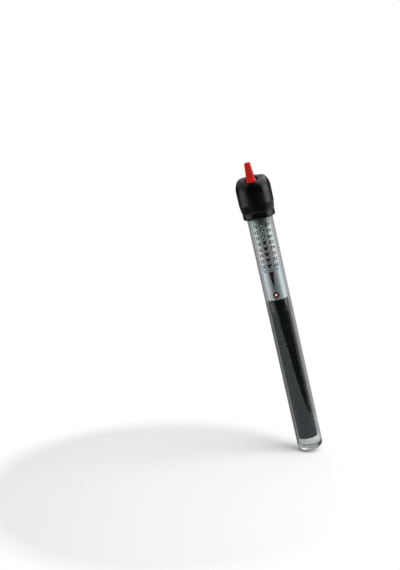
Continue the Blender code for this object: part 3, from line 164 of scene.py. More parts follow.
# Steatite: off-white, unglazed, a dry fine-grained surface.
steatite = finish("fired_steatite", "#d9d2c0", "#eae4d4", 0.6, (0.6, 0.8), relief=0.02)
# Iron-chromium-aluminium wire: dull grey with a slight heat tint.
heating_alloy = finish("drawn_heating_alloy", "#6f6a66", "#9a938c", 0.8, (0.35, 0.5), metal=1.0)
# Woven glass-fibre sleeving: matt off-white with a coarse thread.
glass_fibre = finish("woven_glass_fibre", "#c9c6bb", "#efece2", 0.4, (0.75, 0.95), relief=0.05)

fair_copy("ceramic_core", steatite, "housing", "core_ceramic", edge=0.15)
fair_copy("heating_coil", heating_alloy, "housing", "resistance_wire", edge=0.0, angle=60.0)
fair_copy("coil_feed_wire", glass_fibre, "housing", "feed_insulation", edge=0.0, angle=60.0)

# ---- Sleeve ------------------------------------------------------------------------------
# The real piece is a thin steel tube, enamelled glossy black outside, that spreads the
# core's heat to the glass. It is cut square and only slides in.

SLEEVE_R = 9.2
SLEEVE_BORE_R = 8.4
SLEEVE_SPAN = (12.7, 137.21)


def arc(across, height, radius, start, stop, steps):
    """Points on part of a circle, in degrees, for a turned outline."""
    points = []
    for step in range(steps + 1):
        turn = math.radians(start + (stop - start) * step / steps)
        points.append((across + radius * math.cos(turn), height + radius * math.sin(turn)))
    return points


def turned(name, outline, steps=96, at=(0.0, 0.0), hollow=False):
    """A turned shape. A disc or ring is drawn out along the outline, (radius, height) in mm.
    A hollow one has a hole through it, and its outline comes back to where it starts."""
    bpy.ops.object.select_all(action="DESELECT")
    radius, height = outline[0]
    bpy.ops.mesh.primitive_circle_add(
        vertices=steps, radius=radius * MM, fill_type="NOTHING" if hollow else "NGON",
        location=(at[0] * MM, at[1] * MM, up(height)))
    piece = bpy.context.object
    piece.name = name
    bpy.ops.object.mode_set(mode="EDIT")
    bpy.ops.mesh.select_all(action="SELECT")
    for wide, high in outline[1:]:
        move = {"value": (0.0, 0.0, (high - height) * MM)}
        if hollow:
            bpy.ops.mesh.extrude_edges_move(TRANSFORM_OT_translate=move)
        else:
            bpy.ops.mesh.extrude_region_move(TRANSFORM_OT_translate=move)
        share = wide / radius
        bpy.ops.transform.resize(value=(share, share, 1.0),
                                 center_override=(at[0] * MM, at[1] * MM, up(high)))
        radius, height = wide, high
    bpy.ops.mesh.select_all(action="SELECT")
    bpy.ops.mesh.remove_doubles(threshold=0.001 * MM)
    bpy.ops.mesh.normals_make_consistent(inside=False)
    bpy.ops.object.mode_set(mode="OBJECT")
    bpy.ops.object.transform_apply(location=True, rotation=True, scale=True)
    return piece


def eased(corners, edge):
    """The same outline with each right-angled corner cut off by edge mm."""
    points = []
    for number, (across, height) in enumerate(corners):
        for other in (corners[number - 1], corners[(number + 1) % len(corners)]):
            away = (other[0] - across, other[1] - height)
            length = math.hypot(*away)
            points.append((across + away[0] / length * edge, height + away[1] / length * edge))
    return points + points[:1]


low, high = SLEEVE_SPAN
sleeve = turned("enamelled_sleeve", eased(
    [(SLEEVE_R, low), (SLEEVE_R, high), (SLEEVE_BORE_R, high), (SLEEVE_BORE_R, low)], 0.12),
    hollow=True)
smooth(sleeve)
# Vitreous enamel on steel: deep black and wet-looking, with a very slight orange peel.
black_enamel = finish("black_vitreous_enamel", "#0b0c0d", "#101213", 3.0, (0.06, 0.10),
                      relief=0.004)
settle(sleeve, black_enamel, "housing", "sleeve_enamel", "heater_sleeve")

# ---- Separator ---------------------------------------------------------------------------
# The real piece is a glossy black heat-proof moulding, a cup turned upside down, that shuts
# the hot lower chamber off from the thermostat. Two holes in its top pass the wires.

# Heat-proof moulding compound: pitch black, and nearly as glossy as the enamel.
black_moulding = finish("black_heatproof_moulding", "#070808", "#0b0c0d", 1.5, (0.08, 0.13),
                        relief=0.004)
fair_copy("separator_plug", black_moulding, "housing", "separator_moulding", edge=0.15,
          angle=25.0)

# ---- Thermostat frame --------------------------------------------------------------------
# The real frame is two pressed phenolic laminate plates on two zinc-plated threaded rods,
# locked by hexagon nuts. It hangs from the head plug and stands on the separator.

# Phenolic laminate: brown, paper-flecked, satin on its faces.
laminate = finish("pressed_phenolic_laminate", "#4b2a18", "#6d4226", 0.5, (0.35, 0.55),
                  relief=0.01)
# Zinc plate: pale bluish grey with soft cloudy spots.
zinc_plate = finish("zinc_plated_steel", "#a3a8ab", "#c6cacc", 1.2, (0.25, 0.42), metal=1.0,
                    relief=0.003)
for node in ("frame_base_plate", "frame_top_plate", "stack_spacer", "stack_back_block"):
    fair_copy(node, laminate, "housing", "phenolic", edge=0.1)
for side in ("left", "right"):
    for part in ("tie_rod", "base_nut", "lower_nut", "upper_nut", "bracket_rivet"):
        fair_copy(side + "_" + part, zinc_plate, "housing", "zinc_steel", edge=0.07)

# ---- Thermostat stack --------------------------------------------------------------------
# The real stack is leaves, tags and laminate blocks clamped on an upright bracket by one
# screw, so that the screw's pressure sets nothing else.

# Tinned brass solder tags: warm pale yellow, stamped and slightly dull.
tag_metal = finish("stamped_tag_brass", "#b3924e", "#d1b478", 0.9, (0.28, 0.42), metal=1.0)
# Machined brass: yellow with fine turning marks.
machined_brass = finish("machined_brass", "#b68c3c", "#d9b564", 0.5, (0.18, 0.32), metal=1.0,
                        relief=0.002)
fair_copy("stack_bracket", zinc_plate, "housing", "zinc_steel", edge=0.08)
fair_copy("stack_screw", zinc_plate, "housing", "zinc_steel", edge=0.06)
fair_copy("stack_nut", machined_brass, "housing", "turned_brass", edge=0.08)
fair_copy("load_terminal", tag_metal, "housing", "tag_brass", edge=0.05)
fair_copy("live_terminal", tag_metal, "housing", "tag_brass", edge=0.05)

# ---- Leaves and contacts -----------------------------------------------------------------
# The real contact arm is rolled spring bronze with a riveted silver contact and a small
# ferrite magnet. Facing it, the bimetal strip carries the second contact.

# Phosphor bronze: reddish gold, rolled, with marks along its length.
spring_bronze = finish("rolled_spring_bronze", "#a56a3a", "#c98d58", 0.6, (0.2, 0.34), metal=1.0,
                       along=4.0)
# Bimetal: greyer and slightly yellow, with rolling marks.
bimetal_sheet = finish("rolled_bimetal", "#928671", "#bdb199", 0.6, (0.24, 0.38), metal=1.0,
                       along=4.0)
# Silver contacts: bright, with a faint tarnish.
contact_silver = finish("contact_silver", "#b9b6ae", "#dedcd6", 0.4, (0.15, 0.3), metal=1.0)
# Ferrite: charcoal, sintered and dull.
ferrite = finish("sintered_ferrite", "#1f2022", "#34363a", 0.3, (0.45, 0.65), relief=0.01)
fair_copy("contact_arm", spring_bronze, "contact_lever", "arm_bronze", edge=0.05)
fair_copy("arm_contact", contact_silver, "contact_lever", "contact_silver", edge=0.05)
fair_copy("snap_magnet", ferrite, "contact_lever", "magnet_ferrite", edge=0.08)
fair_copy("bimetal_strip", bimetal_sheet, "bimetal_lever", "bimetal", edge=0.06)
fair_copy("bimetal_contact", contact_silver, "bimetal_lever", "contact_silver", edge=0.05)

# ---- Lamp circuit ------------------------------------------------------------------------
# The real lamp is a small neon bulb behind the card, in series with a lacquered resistor.
# Tinned wires join them to the load tag and to the neutral lead.

# Tinned copper: bright soft grey.
tinned_copper = finish("tinned_copper", "#b4b1aa", "#d8d5cf", 0.7, (0.25, 0.4), metal=1.0)
for node in ("lamp_tag_wire", "lamp_resistor_wire", "resistor_neutral_wire"):
    fair_copy(node, tinned_copper, "housing", "tinned_wire", edge=0.0, angle=60.0)

# Each painted band's middle along x and its colour, and half of a band's width.
RESISTOR_BANDS = ((-1.7, "#5b2f14"), (-0.9, "#141312"), (-0.1, "#c9a51e"), (1.5, "#b99a55"))
BAND_HALF = 0.25


def banded_lacquer():
    """Beige resistor lacquer with four painted bands along x."""
    made, tree = blank("resistor_lacquer")
    spots = clouds(tree, 0.7)
    tint = add(tree, "Mix", {0: spots, 6: linear("#c2a276"), 7: linear("#d9bd92")},
               data_type="RGBA").outputs[2]
    place = add(tree, "TexCoord").outputs["Object"]
    across = add(tree, "SeparateXYZ", {0: place}).outputs[0]
    for middle, colour in RESISTOR_BANDS:
        off = add(tree, "Math", {0: across, 1: middle * MM}, operation="SUBTRACT")
        away = add(tree, "Math", {0: off.outputs[0]}, operation="ABSOLUTE")
        on = add(tree, "Math", {0: away.outputs[0], 1: BAND_HALF * MM},
                 operation="LESS_THAN")
        tint = add(tree, "Mix", {0: on.outputs[0], 6: tint, 7: linear(colour)},
                   data_type="RGBA").outputs[2]
    shader = add(tree, "BsdfPrincipled", {"Base Color": tint, "Roughness": 0.25})
    add(tree, "OutputMaterial", {"Surface": shader.outputs[0]})
    return made


fair_copy("lamp_resistor", banded_lacquer(), "housing", "resistor_body", edge=0.12)

LAMP_H = 156.61
LAMP_R = 2.2
LAMP_BACK_Y = -2.8
LAMP_TIP_Y = -8.7
GLOW_SPAN = (-7.6, -8.6)  # the glow whitens between these two depths, y in mm


def laid_forward(piece, height):
    """Turn a shape made upright round the foot's level, so that its up points to the front."""
    only(piece)
    bpy.ops.object.mode_set(mode="EDIT")
    bpy.ops.mesh.select_all(action="SELECT")
    bpy.ops.transform.rotate(value=math.radians(-90.0), orient_axis="X",
                             center_override=(0.0, 0.0, up(0.0)))
    bpy.ops.transform.translate(value=(0.0, 0.0, height * MM))
    bpy.ops.object.mode_set(mode="OBJECT")


def neon_glow():
    """Clear bulb with an orange-pink glow that is whitest at its front."""
    made, tree = blank("lit_neon_glass")
    place = add(tree, "TexCoord").outputs["Object"]
    ahead = add(tree, "SeparateXYZ", {0: place}).outputs[1]
    front = add(tree, "MapRange", {"Value": ahead, "From Min": GLOW_SPAN[0] * MM,
                                   "From Max": GLOW_SPAN[1] * MM})
    spots = clouds(tree, 0.5)
    tint = add(tree, "Mix", {0: front.outputs[0], 6: linear("#5c0f08"), 7: linear("#f2c4c8")},
               data_type="RGBA")
    power = add(tree, "MapRange", {"Value": spots, "To Min": 0.85, "To Max": 1.15})
    shader = add(tree, "BsdfPrincipled", {
        "Base Color": linear("#f2b8a6"), "Roughness": 0.1,
        "Emission Color": tint.outputs[2], "Emission Strength": power.outputs[0]})
    add(tree, "OutputMaterial", {"Surface": shader.outputs[0]})
    return made


dome = arc(0.0, -LAMP_TIP_Y - LAMP_R, LAMP_R, 2.0, 88.0, 10)
bulb = turned("neon_bulb", [(LAMP_R - 0.35, -LAMP_BACK_Y), (LAMP_R - 0.1, -LAMP_BACK_Y + 0.1),
                            (LAMP_R, -LAMP_BACK_Y + 0.35)] + dome, steps=48)
laid_forward(bulb, LAMP_H)
smooth(bulb)
settle(bulb, neon_glow(), "housing", "lamp_glass", "neon_lamp")

# ---- Shaft, cam and clip -----------------------------------------------------------------
# The real shaft is turned brass. The cam is pressed on its thin end and held by a spring
# clip under the top plate.

fair_copy("adjuster_shaft", machined_brass, "adjuster", "turned_brass", edge=0.06)
fair_copy("adjuster_cam", machined_brass, "adjuster", "turned_brass", edge=0.06)
fair_copy("shaft_clip", zinc_plate, "adjuster", "zinc_steel", edge=0.05)

# ---- Indicator barrel --------------------------------------------------------------------
# The real piece is a plastic barrel on the shaft with a very dark red field printed round it
# along a helix, so that turning the knob makes the field climb behind the card's windows.

BARREL_R = 2.6
SHAFT_HOLE_R = 1.8
SHAFT_Y = -6.2
BARREL_SPAN = (182.51, 224.8)
HELIX_RISE = 0.139  # millimetres up for each degree round
HELIX_FRONT = 210.0  # height of the boundary at the very front, at the drawn setting

barrel = turned("printed_barrel", eased(
    [(BARREL_R, BARREL_SPAN[0]), (BARREL_R, BARREL_SPAN[1]),
     (SHAFT_HOLE_R, BARREL_SPAN[1]), (SHAFT_HOLE_R, BARREL_SPAN[0])], 0.1),
    steps=64, at=(0.0, SHAFT_Y), hollow=True)
smooth(barrel)


def helical_print():
    """Pale plastic above a helix and very dark red ink below it."""
    made, tree = blank("printed_barrel_plastic")
    place = add(tree, "TexCoord").outputs["Object"]
    centred = add(tree, "Mapping", {"Vector": place, "Location": (0.0, -SHAFT_Y * MM, 0.0)})
    axes = add(tree, "SeparateXYZ", {0: centred.outputs[0]})
    ahead = add(tree, "Math", {0: axes.outputs[1], 1: -1.0}, operation="MULTIPLY")
    turn = add(tree, "Math", {0: axes.outputs[0], 1: ahead.outputs[0]}, operation="ARCTAN2")
    climb = add(tree, "Math", {0: turn.outputs[0], 1: math.degrees(1.0) * HELIX_RISE * MM,
                               2: up(HELIX_FRONT)}, operation="MULTIPLY_ADD")
    below = add(tree, "Math", {0: axes.outputs[2], 1: climb.outputs[0]}, operation="LESS_THAN")
    spots = clouds(tree, 0.6)
    pale = add(tree, "Mix", {0: spots, 6: linear("#a9aeac"), 7: linear("#bcc1bf")},
               data_type="RGBA")
    ink = add(tree, "Mix", {0: spots, 6: linear("#0b0203"), 7: linear("#120304")},
              data_type="RGBA")
    tint = add(tree, "Mix", {0: below.outputs[0], 6: pale.outputs[2], 7: ink.outputs[2]},
               data_type="RGBA")
    shader = add(tree, "BsdfPrincipled", {"Base Color": tint.outputs[2], "Roughness": 0.6,
                                          "Specular IOR Level": 0.05})
    add(tree, "OutputMaterial", {"Surface": shader.outputs[0]})
    return made


settle(barrel, helical_print(), "adjuster", "barrel_plastic", "indicator_barrel")

# ---- Scale card --------------------------------------------------------------------------
# The real card is stiff metallised film rolled into the tube in front of the thermostat. A
# window is punched for each mark, and a round hole for the lamp.

CARD_R = 9.65
CARD_INNER_R = 9.3
CARD_SPAN = (151.81, 233.7)
CARD_SPREAD = 250.0
COOLEST_ROW = 183.21
ROW_PITCH = 5.47
ROW_COUNT = 8
MARK_WIDTH = 3.6
MARK_HEIGHT = 2.7
LAMP_HOLE_R = 2.9
PUNCH_Y = -9.5  # middle of the punches, which are this deep:
PUNCH_DEPTH = 5.0


def cut(piece, tool, operation="DIFFERENCE"):
    """Cut the tool out of the piece, or join it on, and take the tool away."""
    applied(piece, "BOOLEAN", operation=operation, object=tool, solver="EXACT")
    bpy.data.objects.remove(tool, do_unlink=True)


low, high = CARD_SPAN
card = turned("metallised_card", [(CARD_R, low), (CARD_R, high), (CARD_INNER_R, high),
                                  (CARD_INNER_R, low), (CARD_R, low)], steps=144, hollow=True)
# The back is cut away between the card's two edges, one edge at a time.
only(card)
bpy.ops.object.mode_set(mode="EDIT")
for side in (-1.0, 1.0):
    edge = math.radians(-90.0 + side * CARD_SPREAD / 2.0)
    bpy.ops.mesh.select_all(action="DESELECT")
    bpy.ops.object.mode_set(mode="OBJECT")
    for face in card.data.polygons:
        face.select = face.center.y > 0.0 and face.center.x * side > 0.0
    bpy.ops.object.mode_set(mode="EDIT")
    bpy.ops.mesh.bisect(
        plane_co=(0.0, 0.0, 0.0), plane_no=(-math.sin(edge) * side, math.cos(edge) * side, 0.0),
        use_fill=True, clear_outer=True)
bpy.ops.object.mode_set(mode="OBJECT")
bpy.ops.object.select_all(action="DESELECT")
# A window is a triangle that points down: an equal-sided one, squashed to the mark's height.
circle = MARK_WIDTH / math.sqrt(3.0)
squash = MARK_HEIGHT / (1.5 * circle)
for row in range(ROW_COUNT):
    centre = (0.0, PUNCH_Y * MM, up(COOLEST_ROW + row * ROW_PITCH + squash * circle))
    bpy.ops.mesh.primitive_cylinder_add(
        vertices=3, radius=circle * MM, depth=PUNCH_DEPTH * MM, location=centre,
        rotation=(math.radians(-90.0), 0.0, 0.0))
    window = bpy.context.object
    bpy.ops.object.mode_set(mode="EDIT")
    bpy.ops.transform.resize(value=(1.0, 1.0, squash), center_override=centre)
    bpy.ops.object.mode_set(mode="OBJECT")
    cut(card, window)
bpy.ops.object.select_all(action="DESELECT")
bpy.ops.mesh.primitive_cylinder_add(
    vertices=48, radius=LAMP_HOLE_R * MM, depth=PUNCH_DEPTH * MM,
    location=(0.0, PUNCH_Y * MM, up(LAMP_H)), rotation=(math.radians(90.0), 0.0, 0.0))
cut(card, bpy.context.object)
smooth(card, 20.0)


def metallised():
    """Bright aluminium film, tinted by the scale's printing: greenish above, then pinkish,
    and bluish towards the lamp. Its top is darkened by painted shade of the cap above it."""
    made, tree = blank("metallised_film")
    place = add(tree, "TexCoord").outputs["Object"]
    height = add(tree, "SeparateXYZ", {0: place}).outputs[2]
    spots = clouds(tree, 7.0, along=2.0)
    level = add(tree, "MapRange", {"Value": height, "From Min": up(CARD_SPAN[0]),
                                   "From Max": up(CARD_SPAN[1])}).outputs[0]
    moved = add(tree, "Math", {0: spots, 1: 0.16, 2: -0.08}, operation="MULTIPLY_ADD")
    level = add(tree, "Math", {0: level, 1: moved.outputs[0]}, operation="ADD")
    ramp = add(tree, "ValToRGB", {0: level.outputs[0]})
    # The last two stops are painted shade: they darken the film's top, under the cap.
    stops = ((0.0, "#dcdfe2"), (0.15, "#c8ced4"), (0.35, "#c8cdd4"), (0.55, "#d2c9cf"),
             (0.75, "#c3cfca"), (0.87, "#b4bdba"), (0.93, "#747b7a"))
    while len(ramp.color_ramp.elements) < len(stops):
        ramp.color_ramp.elements.new(0.5)
    for element, (at, colour) in zip(ramp.color_ramp.elements, stops):
        element.position = at
        element.color = linear(colour)
    grain = clouds(tree, 0.5, along=6.0)
    gloss = add(tree, "MapRange", {"Value": grain, "To Min": 0.08, "To Max": 0.14})
    shader = add(tree, "BsdfPrincipled", {
        "Base Color": ramp.outputs[0], "Metallic": 0.82, "Roughness": gloss.outputs[0]})
    add(tree, "OutputMaterial", {"Surface": shader.outputs[0]})
    return made


settle(card, metallised(), "housing", "metallised_film", "scale_card")

# ---- Printing on the card ----------------------------------------------------------------
# The real card is screen-printed: degrees Celsius on the left and Fahrenheit on the right of
# each window, a black border round the window, and a long dark red pointer down to the lamp.

INK_R = 9.66  # the ink's underside, just clear of the card
INK = 0.03
STRIP = 0.4  # a print bends round the card in strips of this width, so many to each side
STRIPS = 24
DIGITS_OUT = (-5.9, 6.7)  # round the card from its middle
DIGITS_UP = 1.1  # middle of the figures above the window's tip
DIGIT_SIZE = 4.3
BOLD = 0.03  # share of the size by which the outlines are swollen
LETTER_SPACE = 1.14
WIDE = 1.1  # width of the Fahrenheit figures against the Celsius ones
ROWS = ((20, 68), (22, 72), (24, 75), (26, 79), (28, 82), (30, 86), (32, 90), (34, 93))


def lettered(words, out, height, size, width=1.0):
    """Flat words in the card's unrolled plane, out mm round and height mm up."""
    bpy.ops.object.select_all(action="DESELECT")
    bpy.ops.object.text_add()
    text = bpy.context.object
    text.data.body = words
    text.data.align_x = "CENTER"
    text.data.align_y = "CENTER"
    text.data.size = size * MM
    text.data.offset = BOLD * size * MM
    text.data.space_character = LETTER_SPACE
    text.data.resolution_u = 4
    bpy.ops.object.convert(target="MESH")
    text.scale = (width, 1.0, 1.0)
    text.rotation_euler = (math.radians(90.0), 0.0, 0.0)
    text.location = (out * MM, 0.0, up(height))
    bpy.ops.object.transform_apply(location=True, rotation=True, scale=True)
    return text


def rolled(name, flats, surface):
    """Join flat prints, cut them into narrow strips, give them the ink's thickness and roll
    them round the card."""
    bpy.ops.object.select_all(action="DESELECT")
    for flat in flats:
        flat.select_set(True)
    bpy.context.view_layer.objects.active = flats[0]
    if len(flats) > 1:
        bpy.ops.object.join()
    piece = bpy.context.object
    piece.name = name
    bpy.ops.object.mode_set(mode="EDIT")
    for step in range(-STRIPS, STRIPS + 1):
        bpy.ops.mesh.select_all(action="SELECT")
        bpy.ops.mesh.bisect(plane_co=(step * STRIP * MM, 0.0, 0.0), plane_no=(1.0, 0.0, 0.0))
    bpy.ops.object.mode_set(mode="OBJECT")
    applied(piece, "SOLIDIFY", thickness=INK * MM, offset=0.0)
    for vertex in piece.data.vertices:
        radius = INK_R * MM + INK * MM / 2.0 - vertex.co.y
        turn = vertex.co.x / (CARD_R * MM)
        vertex.co = (radius * math.sin(turn), -radius * math.cos(turn), vertex.co.z)
    only(piece)
    bpy.ops.object.mode_set(mode="EDIT")
    bpy.ops.mesh.select_all(action="SELECT")
    bpy.ops.mesh.normals_make_consistent(inside=False)
    bpy.ops.object.mode_set(mode="OBJECT")
    piece.data.materials.clear()
    piece.data.materials.append(surface)
    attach(piece, "housing")


# Screen ink: near-black and matt, thinner in places so that the film greys it.
black_ink = finish("black_screen_ink", "#040505", "#090a0b", 0.5, (0.6, 0.75), shine=0.05)
numbers = []
for row, (celsius, fahrenheit) in enumerate(ROWS):
    line = COOLEST_ROW + row * ROW_PITCH + DIGITS_UP
    numbers.append(lettered(str(celsius), DIGITS_OUT[0], line, DIGIT_SIZE))
    numbers.append(lettered(str(fahrenheit), DIGITS_OUT[1], line, DIGIT_SIZE, WIDE))
rolled("scale_numbers", numbers, black_ink)

# Each border is printed ink. Its wider top is painted shade, the dark line under the window's
# upper edge.
BORDER = 0.3  # round each window, and this much more along its top:
BORDER_TOP_SHADE = 0.3
borders = []
for row in range(ROW_COUNT):
    bpy.ops.object.select_all(action="DESELECT")
    bpy.ops.mesh.primitive_circle_add(vertices=3, radius=(circle + 2.0 * BORDER) * MM,
                                      fill_type="NGON")
    border = bpy.context.object
    bpy.ops.object.mode_set(mode="EDIT")
    bpy.ops.mesh.select_all(action="SELECT")
    bpy.ops.mesh.inset(thickness=BORDER * MM)
    bpy.ops.mesh.delete(type="FACE")
    bpy.ops.object.mode_set(mode="OBJECT")
    for vertex in border.data.vertices:
        if vertex.co.y < 0.0 and abs(vertex.co.x) > (MARK_WIDTH / 2.0 + BORDER) * MM:
            vertex.co.y -= BORDER_TOP_SHADE * MM
    border.scale = (1.0, squash, 1.0)
    border.rotation_euler = (math.radians(-90.0), 0.0, 0.0)
    border.location = (0.0, 0.0, up(COOLEST_ROW + row * ROW_PITCH + squash * circle))
    bpy.ops.object.transform_apply(location=True, rotation=True, scale=True)
    borders.append(border)
rolled("window_borders", borders, black_ink)

UNITS_H = 179.9
UNITS_SIZE = 3.6
UNITS_OUT = (DIGITS_OUT[0], DIGITS_OUT[1] - 0.4)
# The same screen ink, thinner: the units are greyer than the figures.
grey_ink = finish("grey_screen_ink", "#34393d", "#4c5256", 0.5, (0.6, 0.75), shine=0.05)
rolled("scale_units", [lettered("°C", UNITS_OUT[0], UNITS_H, UNITS_SIZE),
                       lettered("°F", UNITS_OUT[1], UNITS_H, UNITS_SIZE)], grey_ink)

POINTER_TOP = 178.9
POINTER_TIP = 162.5
POINTER_HALF = (2.15, 0.08)  # half width at its top and at its tip
POINTER_FADE = (167.0, 176.0)  # black below the first height, red above the second


def pointer_ink():
    """Dark red ink that darkens to brown-black down the pointer."""
    made, tree = blank("dark_red_screen_ink")
    place = add(tree, "TexCoord").outputs["Object"]
    height = add(tree, "SeparateXYZ", {0: place}).outputs[2]
    level = add(tree, "MapRange", {"Value": height, "From Min": up(POINTER_FADE[0]),
                                   "From Max": up(POINTER_FADE[1])}).outputs[0]
    spots = clouds(tree, 0.8)
    warm = add(tree, "Mix", {0: spots, 6: linear("#2a0808"), 7: linear("#360b0b")},
               data_type="RGBA")
    tint = add(tree, "Mix", {0: level, 6: linear("#050304"), 7: warm.outputs[2]},
               data_type="RGBA")
    shader = add(tree, "BsdfPrincipled", {"Base Color": tint.outputs[2], "Roughness": 0.6,
                                          "Specular IOR Level": 0.05})
    add(tree, "OutputMaterial", {"Surface": shader.outputs[0]})
    return made


bpy.ops.object.select_all(action="DESELECT")
bpy.ops.mesh.primitive_plane_add(size=1.0)
pointer = bpy.context.object
for vertex in pointer.data.vertices:
    side = 1.0 if vertex.co.x > 0.0 else -1.0
    half, height = ((POINTER_HALF[0], POINTER_TOP) if vertex.co.y > 0.0
                    else (POINTER_HALF[1], POINTER_TIP))
    vertex.co = (side * half * MM, 0.0, up(height))
rolled("printed_pointer", [pointer], pointer_ink())

# ---- Lens --------------------------------------------------------------------------------
# The real piece is a small dark red plastic ring in the card's hole, in front of the lamp.
# The bulb shines through its middle and reddens the ring.

LENS_R = 2.6
LENS_BORE_R = 1.05
LENS_SPAN = (9.0, 9.9)  # out from the tube's axis
LENS_EDGE = 0.35
LENS_BORE_EDGE = 0.3
LENS_GLOW = (1.0, 1.6)  # the glow dies away between these two radii

lens = turned("red_lens", [
    (LENS_BORE_R, LENS_SPAN[0]), (LENS_R, LENS_SPAN[0]), (LENS_R, LENS_SPAN[1] - LENS_EDGE),
    *arc(LENS_R - LENS_EDGE, LENS_SPAN[1] - LENS_EDGE, LENS_EDGE, 15.0, 90.0, 4),
    *arc(LENS_BORE_R + LENS_BORE_EDGE, LENS_SPAN[1] - LENS_BORE_EDGE, LENS_BORE_EDGE,
         90.0, 165.0, 4),
    (LENS_BORE_R, LENS_SPAN[0])], steps=64, hollow=True)
laid_forward(lens, LAMP_H)
smooth(lens)


def lit_red():
    """Translucent dark red plastic, glowing more towards the bulb in its middle."""
    made, tree = blank("lit_red_plastic")
    place = add(tree, "TexCoord").outputs["Object"]
    centred = add(tree, "Mapping", {"Vector": place, "Location": (0.0, 0.0, -up(LAMP_H)),
                                    "Scale": (1.0, 0.0, 1.0)})
    off = add(tree, "VectorMath", {0: centred.outputs[0]}, operation="LENGTH").outputs["Value"]
    glow = add(tree, "MapRange", {"Value": off, "From Min": LENS_GLOW[0] * MM,
                                  "From Max": LENS_GLOW[1] * MM,
                                  "To Min": 0.45, "To Max": 0.01})
    spots = clouds(tree, 0.6)
    tint = add(tree, "Mix", {0: spots, 6: linear("#2a030a"), 7: linear("#36050d")},
               data_type="RGBA")
    shader = add(tree, "BsdfPrincipled", {
        "Base Color": tint.outputs[2], "Roughness": 0.2,
        "Emission Color": linear("#c8303a"), "Emission Strength": glow.outputs[0]})
    add(tree, "OutputMaterial", {"Surface": shader.outputs[0]})
    return made


settle(lens, lit_red(), "housing", "lens_plastic", "lamp_lens")

# ---- Leads, plug and bush ----------------------------------------------------------------
# The real leads are the stripped cores of the mains cord, brown and blue PVC. They pass
# through the moulded plug in the tube's mouth, which also holds the shaft's nylon bush.

# PVC insulation: coloured right through, soft sheen.
brown_pvc = finish("brown_pvc", "#5b2f1a", "#6d3b22", 1.0, (0.32, 0.45))
blue_pvc = finish("blue_pvc", "#1d3f78", "#274d8c", 1.0, (0.32, 0.45))
# Glass-filled nylon: near-black with a slightly rough moulded face.
filled_nylon = finish("glass_filled_nylon", "#1c1d1f", "#2a2c2e", 0.5, (0.4, 0.6), relief=0.01)
# Natural nylon: milky, with a soft sheen.
natural_nylon = finish("natural_nylon", "#dad6c8", "#ebe8de", 1.5, (0.35, 0.5), relief=0.004)
# Nitrile rubber: black, smooth, faintly dusty.
nitrile = finish("nitrile_rubber", "#121213", "#1c1c1e", 0.7, (0.45, 0.6))
fair_copy("live_lead", brown_pvc, "housing", "live_insulation", edge=0.0, angle=60.0)
fair_copy("neutral_lead", blue_pvc, "housing", "neutral_insulation", edge=0.0, angle=60.0)
fair_copy("head_plug", filled_nylon, "housing", "plug_moulding", edge=0.15)
fair_copy("shaft_bush", natural_nylon, "housing", "bush_nylon", edge=0.08)
for node in ("lower_seal_ring", "upper_seal_ring"):
    fair_copy(node, nitrile, "housing", "seal_rubber", edge=0.0, angle=60.0)

# ---- End pad -----------------------------------------------------------------------------
# The real piece is a plug of white ceramic fibre that cushions the core in the rounded end
# of the glass. It is cut from felt and pressed to shape.

PAD_R = 10.3
PAD_SPAN = (3.3, 12.4)
PAD_CORNER_R = 4.6

pad = turned("fibre_pad", [
    (1.0, PAD_SPAN[0]),
    *arc(PAD_R - PAD_CORNER_R, PAD_SPAN[0] + PAD_CORNER_R, PAD_CORNER_R, -90.0, 0.0, 12),
    (PAD_R, 10.2), (PAD_R, 12.0), (PAD_R - 0.12, 12.25), (PAD_R - 0.4, PAD_SPAN[1]),
    (6.0, PAD_SPAN[1])])
smooth(pad)
# Ceramic fibre felt: pale grey-white, fluffy, no shine at all.
fibre_felt = finish("ceramic_fibre_felt", "#c4c2c3", "#dddbdc", 0.8, (0.9, 1.0), relief=0.12)
settle(pad, fibre_felt, "housing", "ceramic_fibre", "end_pad")

# ---- Glass tube --------------------------------------------------------------------------
# The real piece is heat-proof borosilicate tube, blown shut at the bottom, pressed flat at
# the foot and fire-polished at the mouth.

TUBE_R = 12.0
BORE_R = 10.7
TUBE_TOP = 250.0
TUBE_BASE = 3.0
CORNER_R = 5.4
INNER_CORNER_R = 4.2
RIM_R = 0.65
FOOT_SHADE = (1.5, 7.5)  # the thick foot holds light back, less and less between these heights

tube = turned("borosilicate_tube", [
    (3.0, 0.0),
    *arc(TUBE_R - CORNER_R, CORNER_R, CORNER_R, -90.0, 0.0, 16),
    *[(TUBE_R, height) for height in range(20, 240, 20)],
    *arc(TUBE_R - RIM_R, TUBE_TOP - RIM_R, RIM_R, 0.0, 180.0, 10),
    *[(BORE_R, height) for height in range(240, 20, -20)],
    *arc(BORE_R - INNER_CORNER_R, TUBE_BASE + INNER_CORNER_R, INNER_CORNER_R, 0.0, -90.0, 14),
    (3.0, TUBE_BASE)], steps=128)
smooth(tube, 30.0)


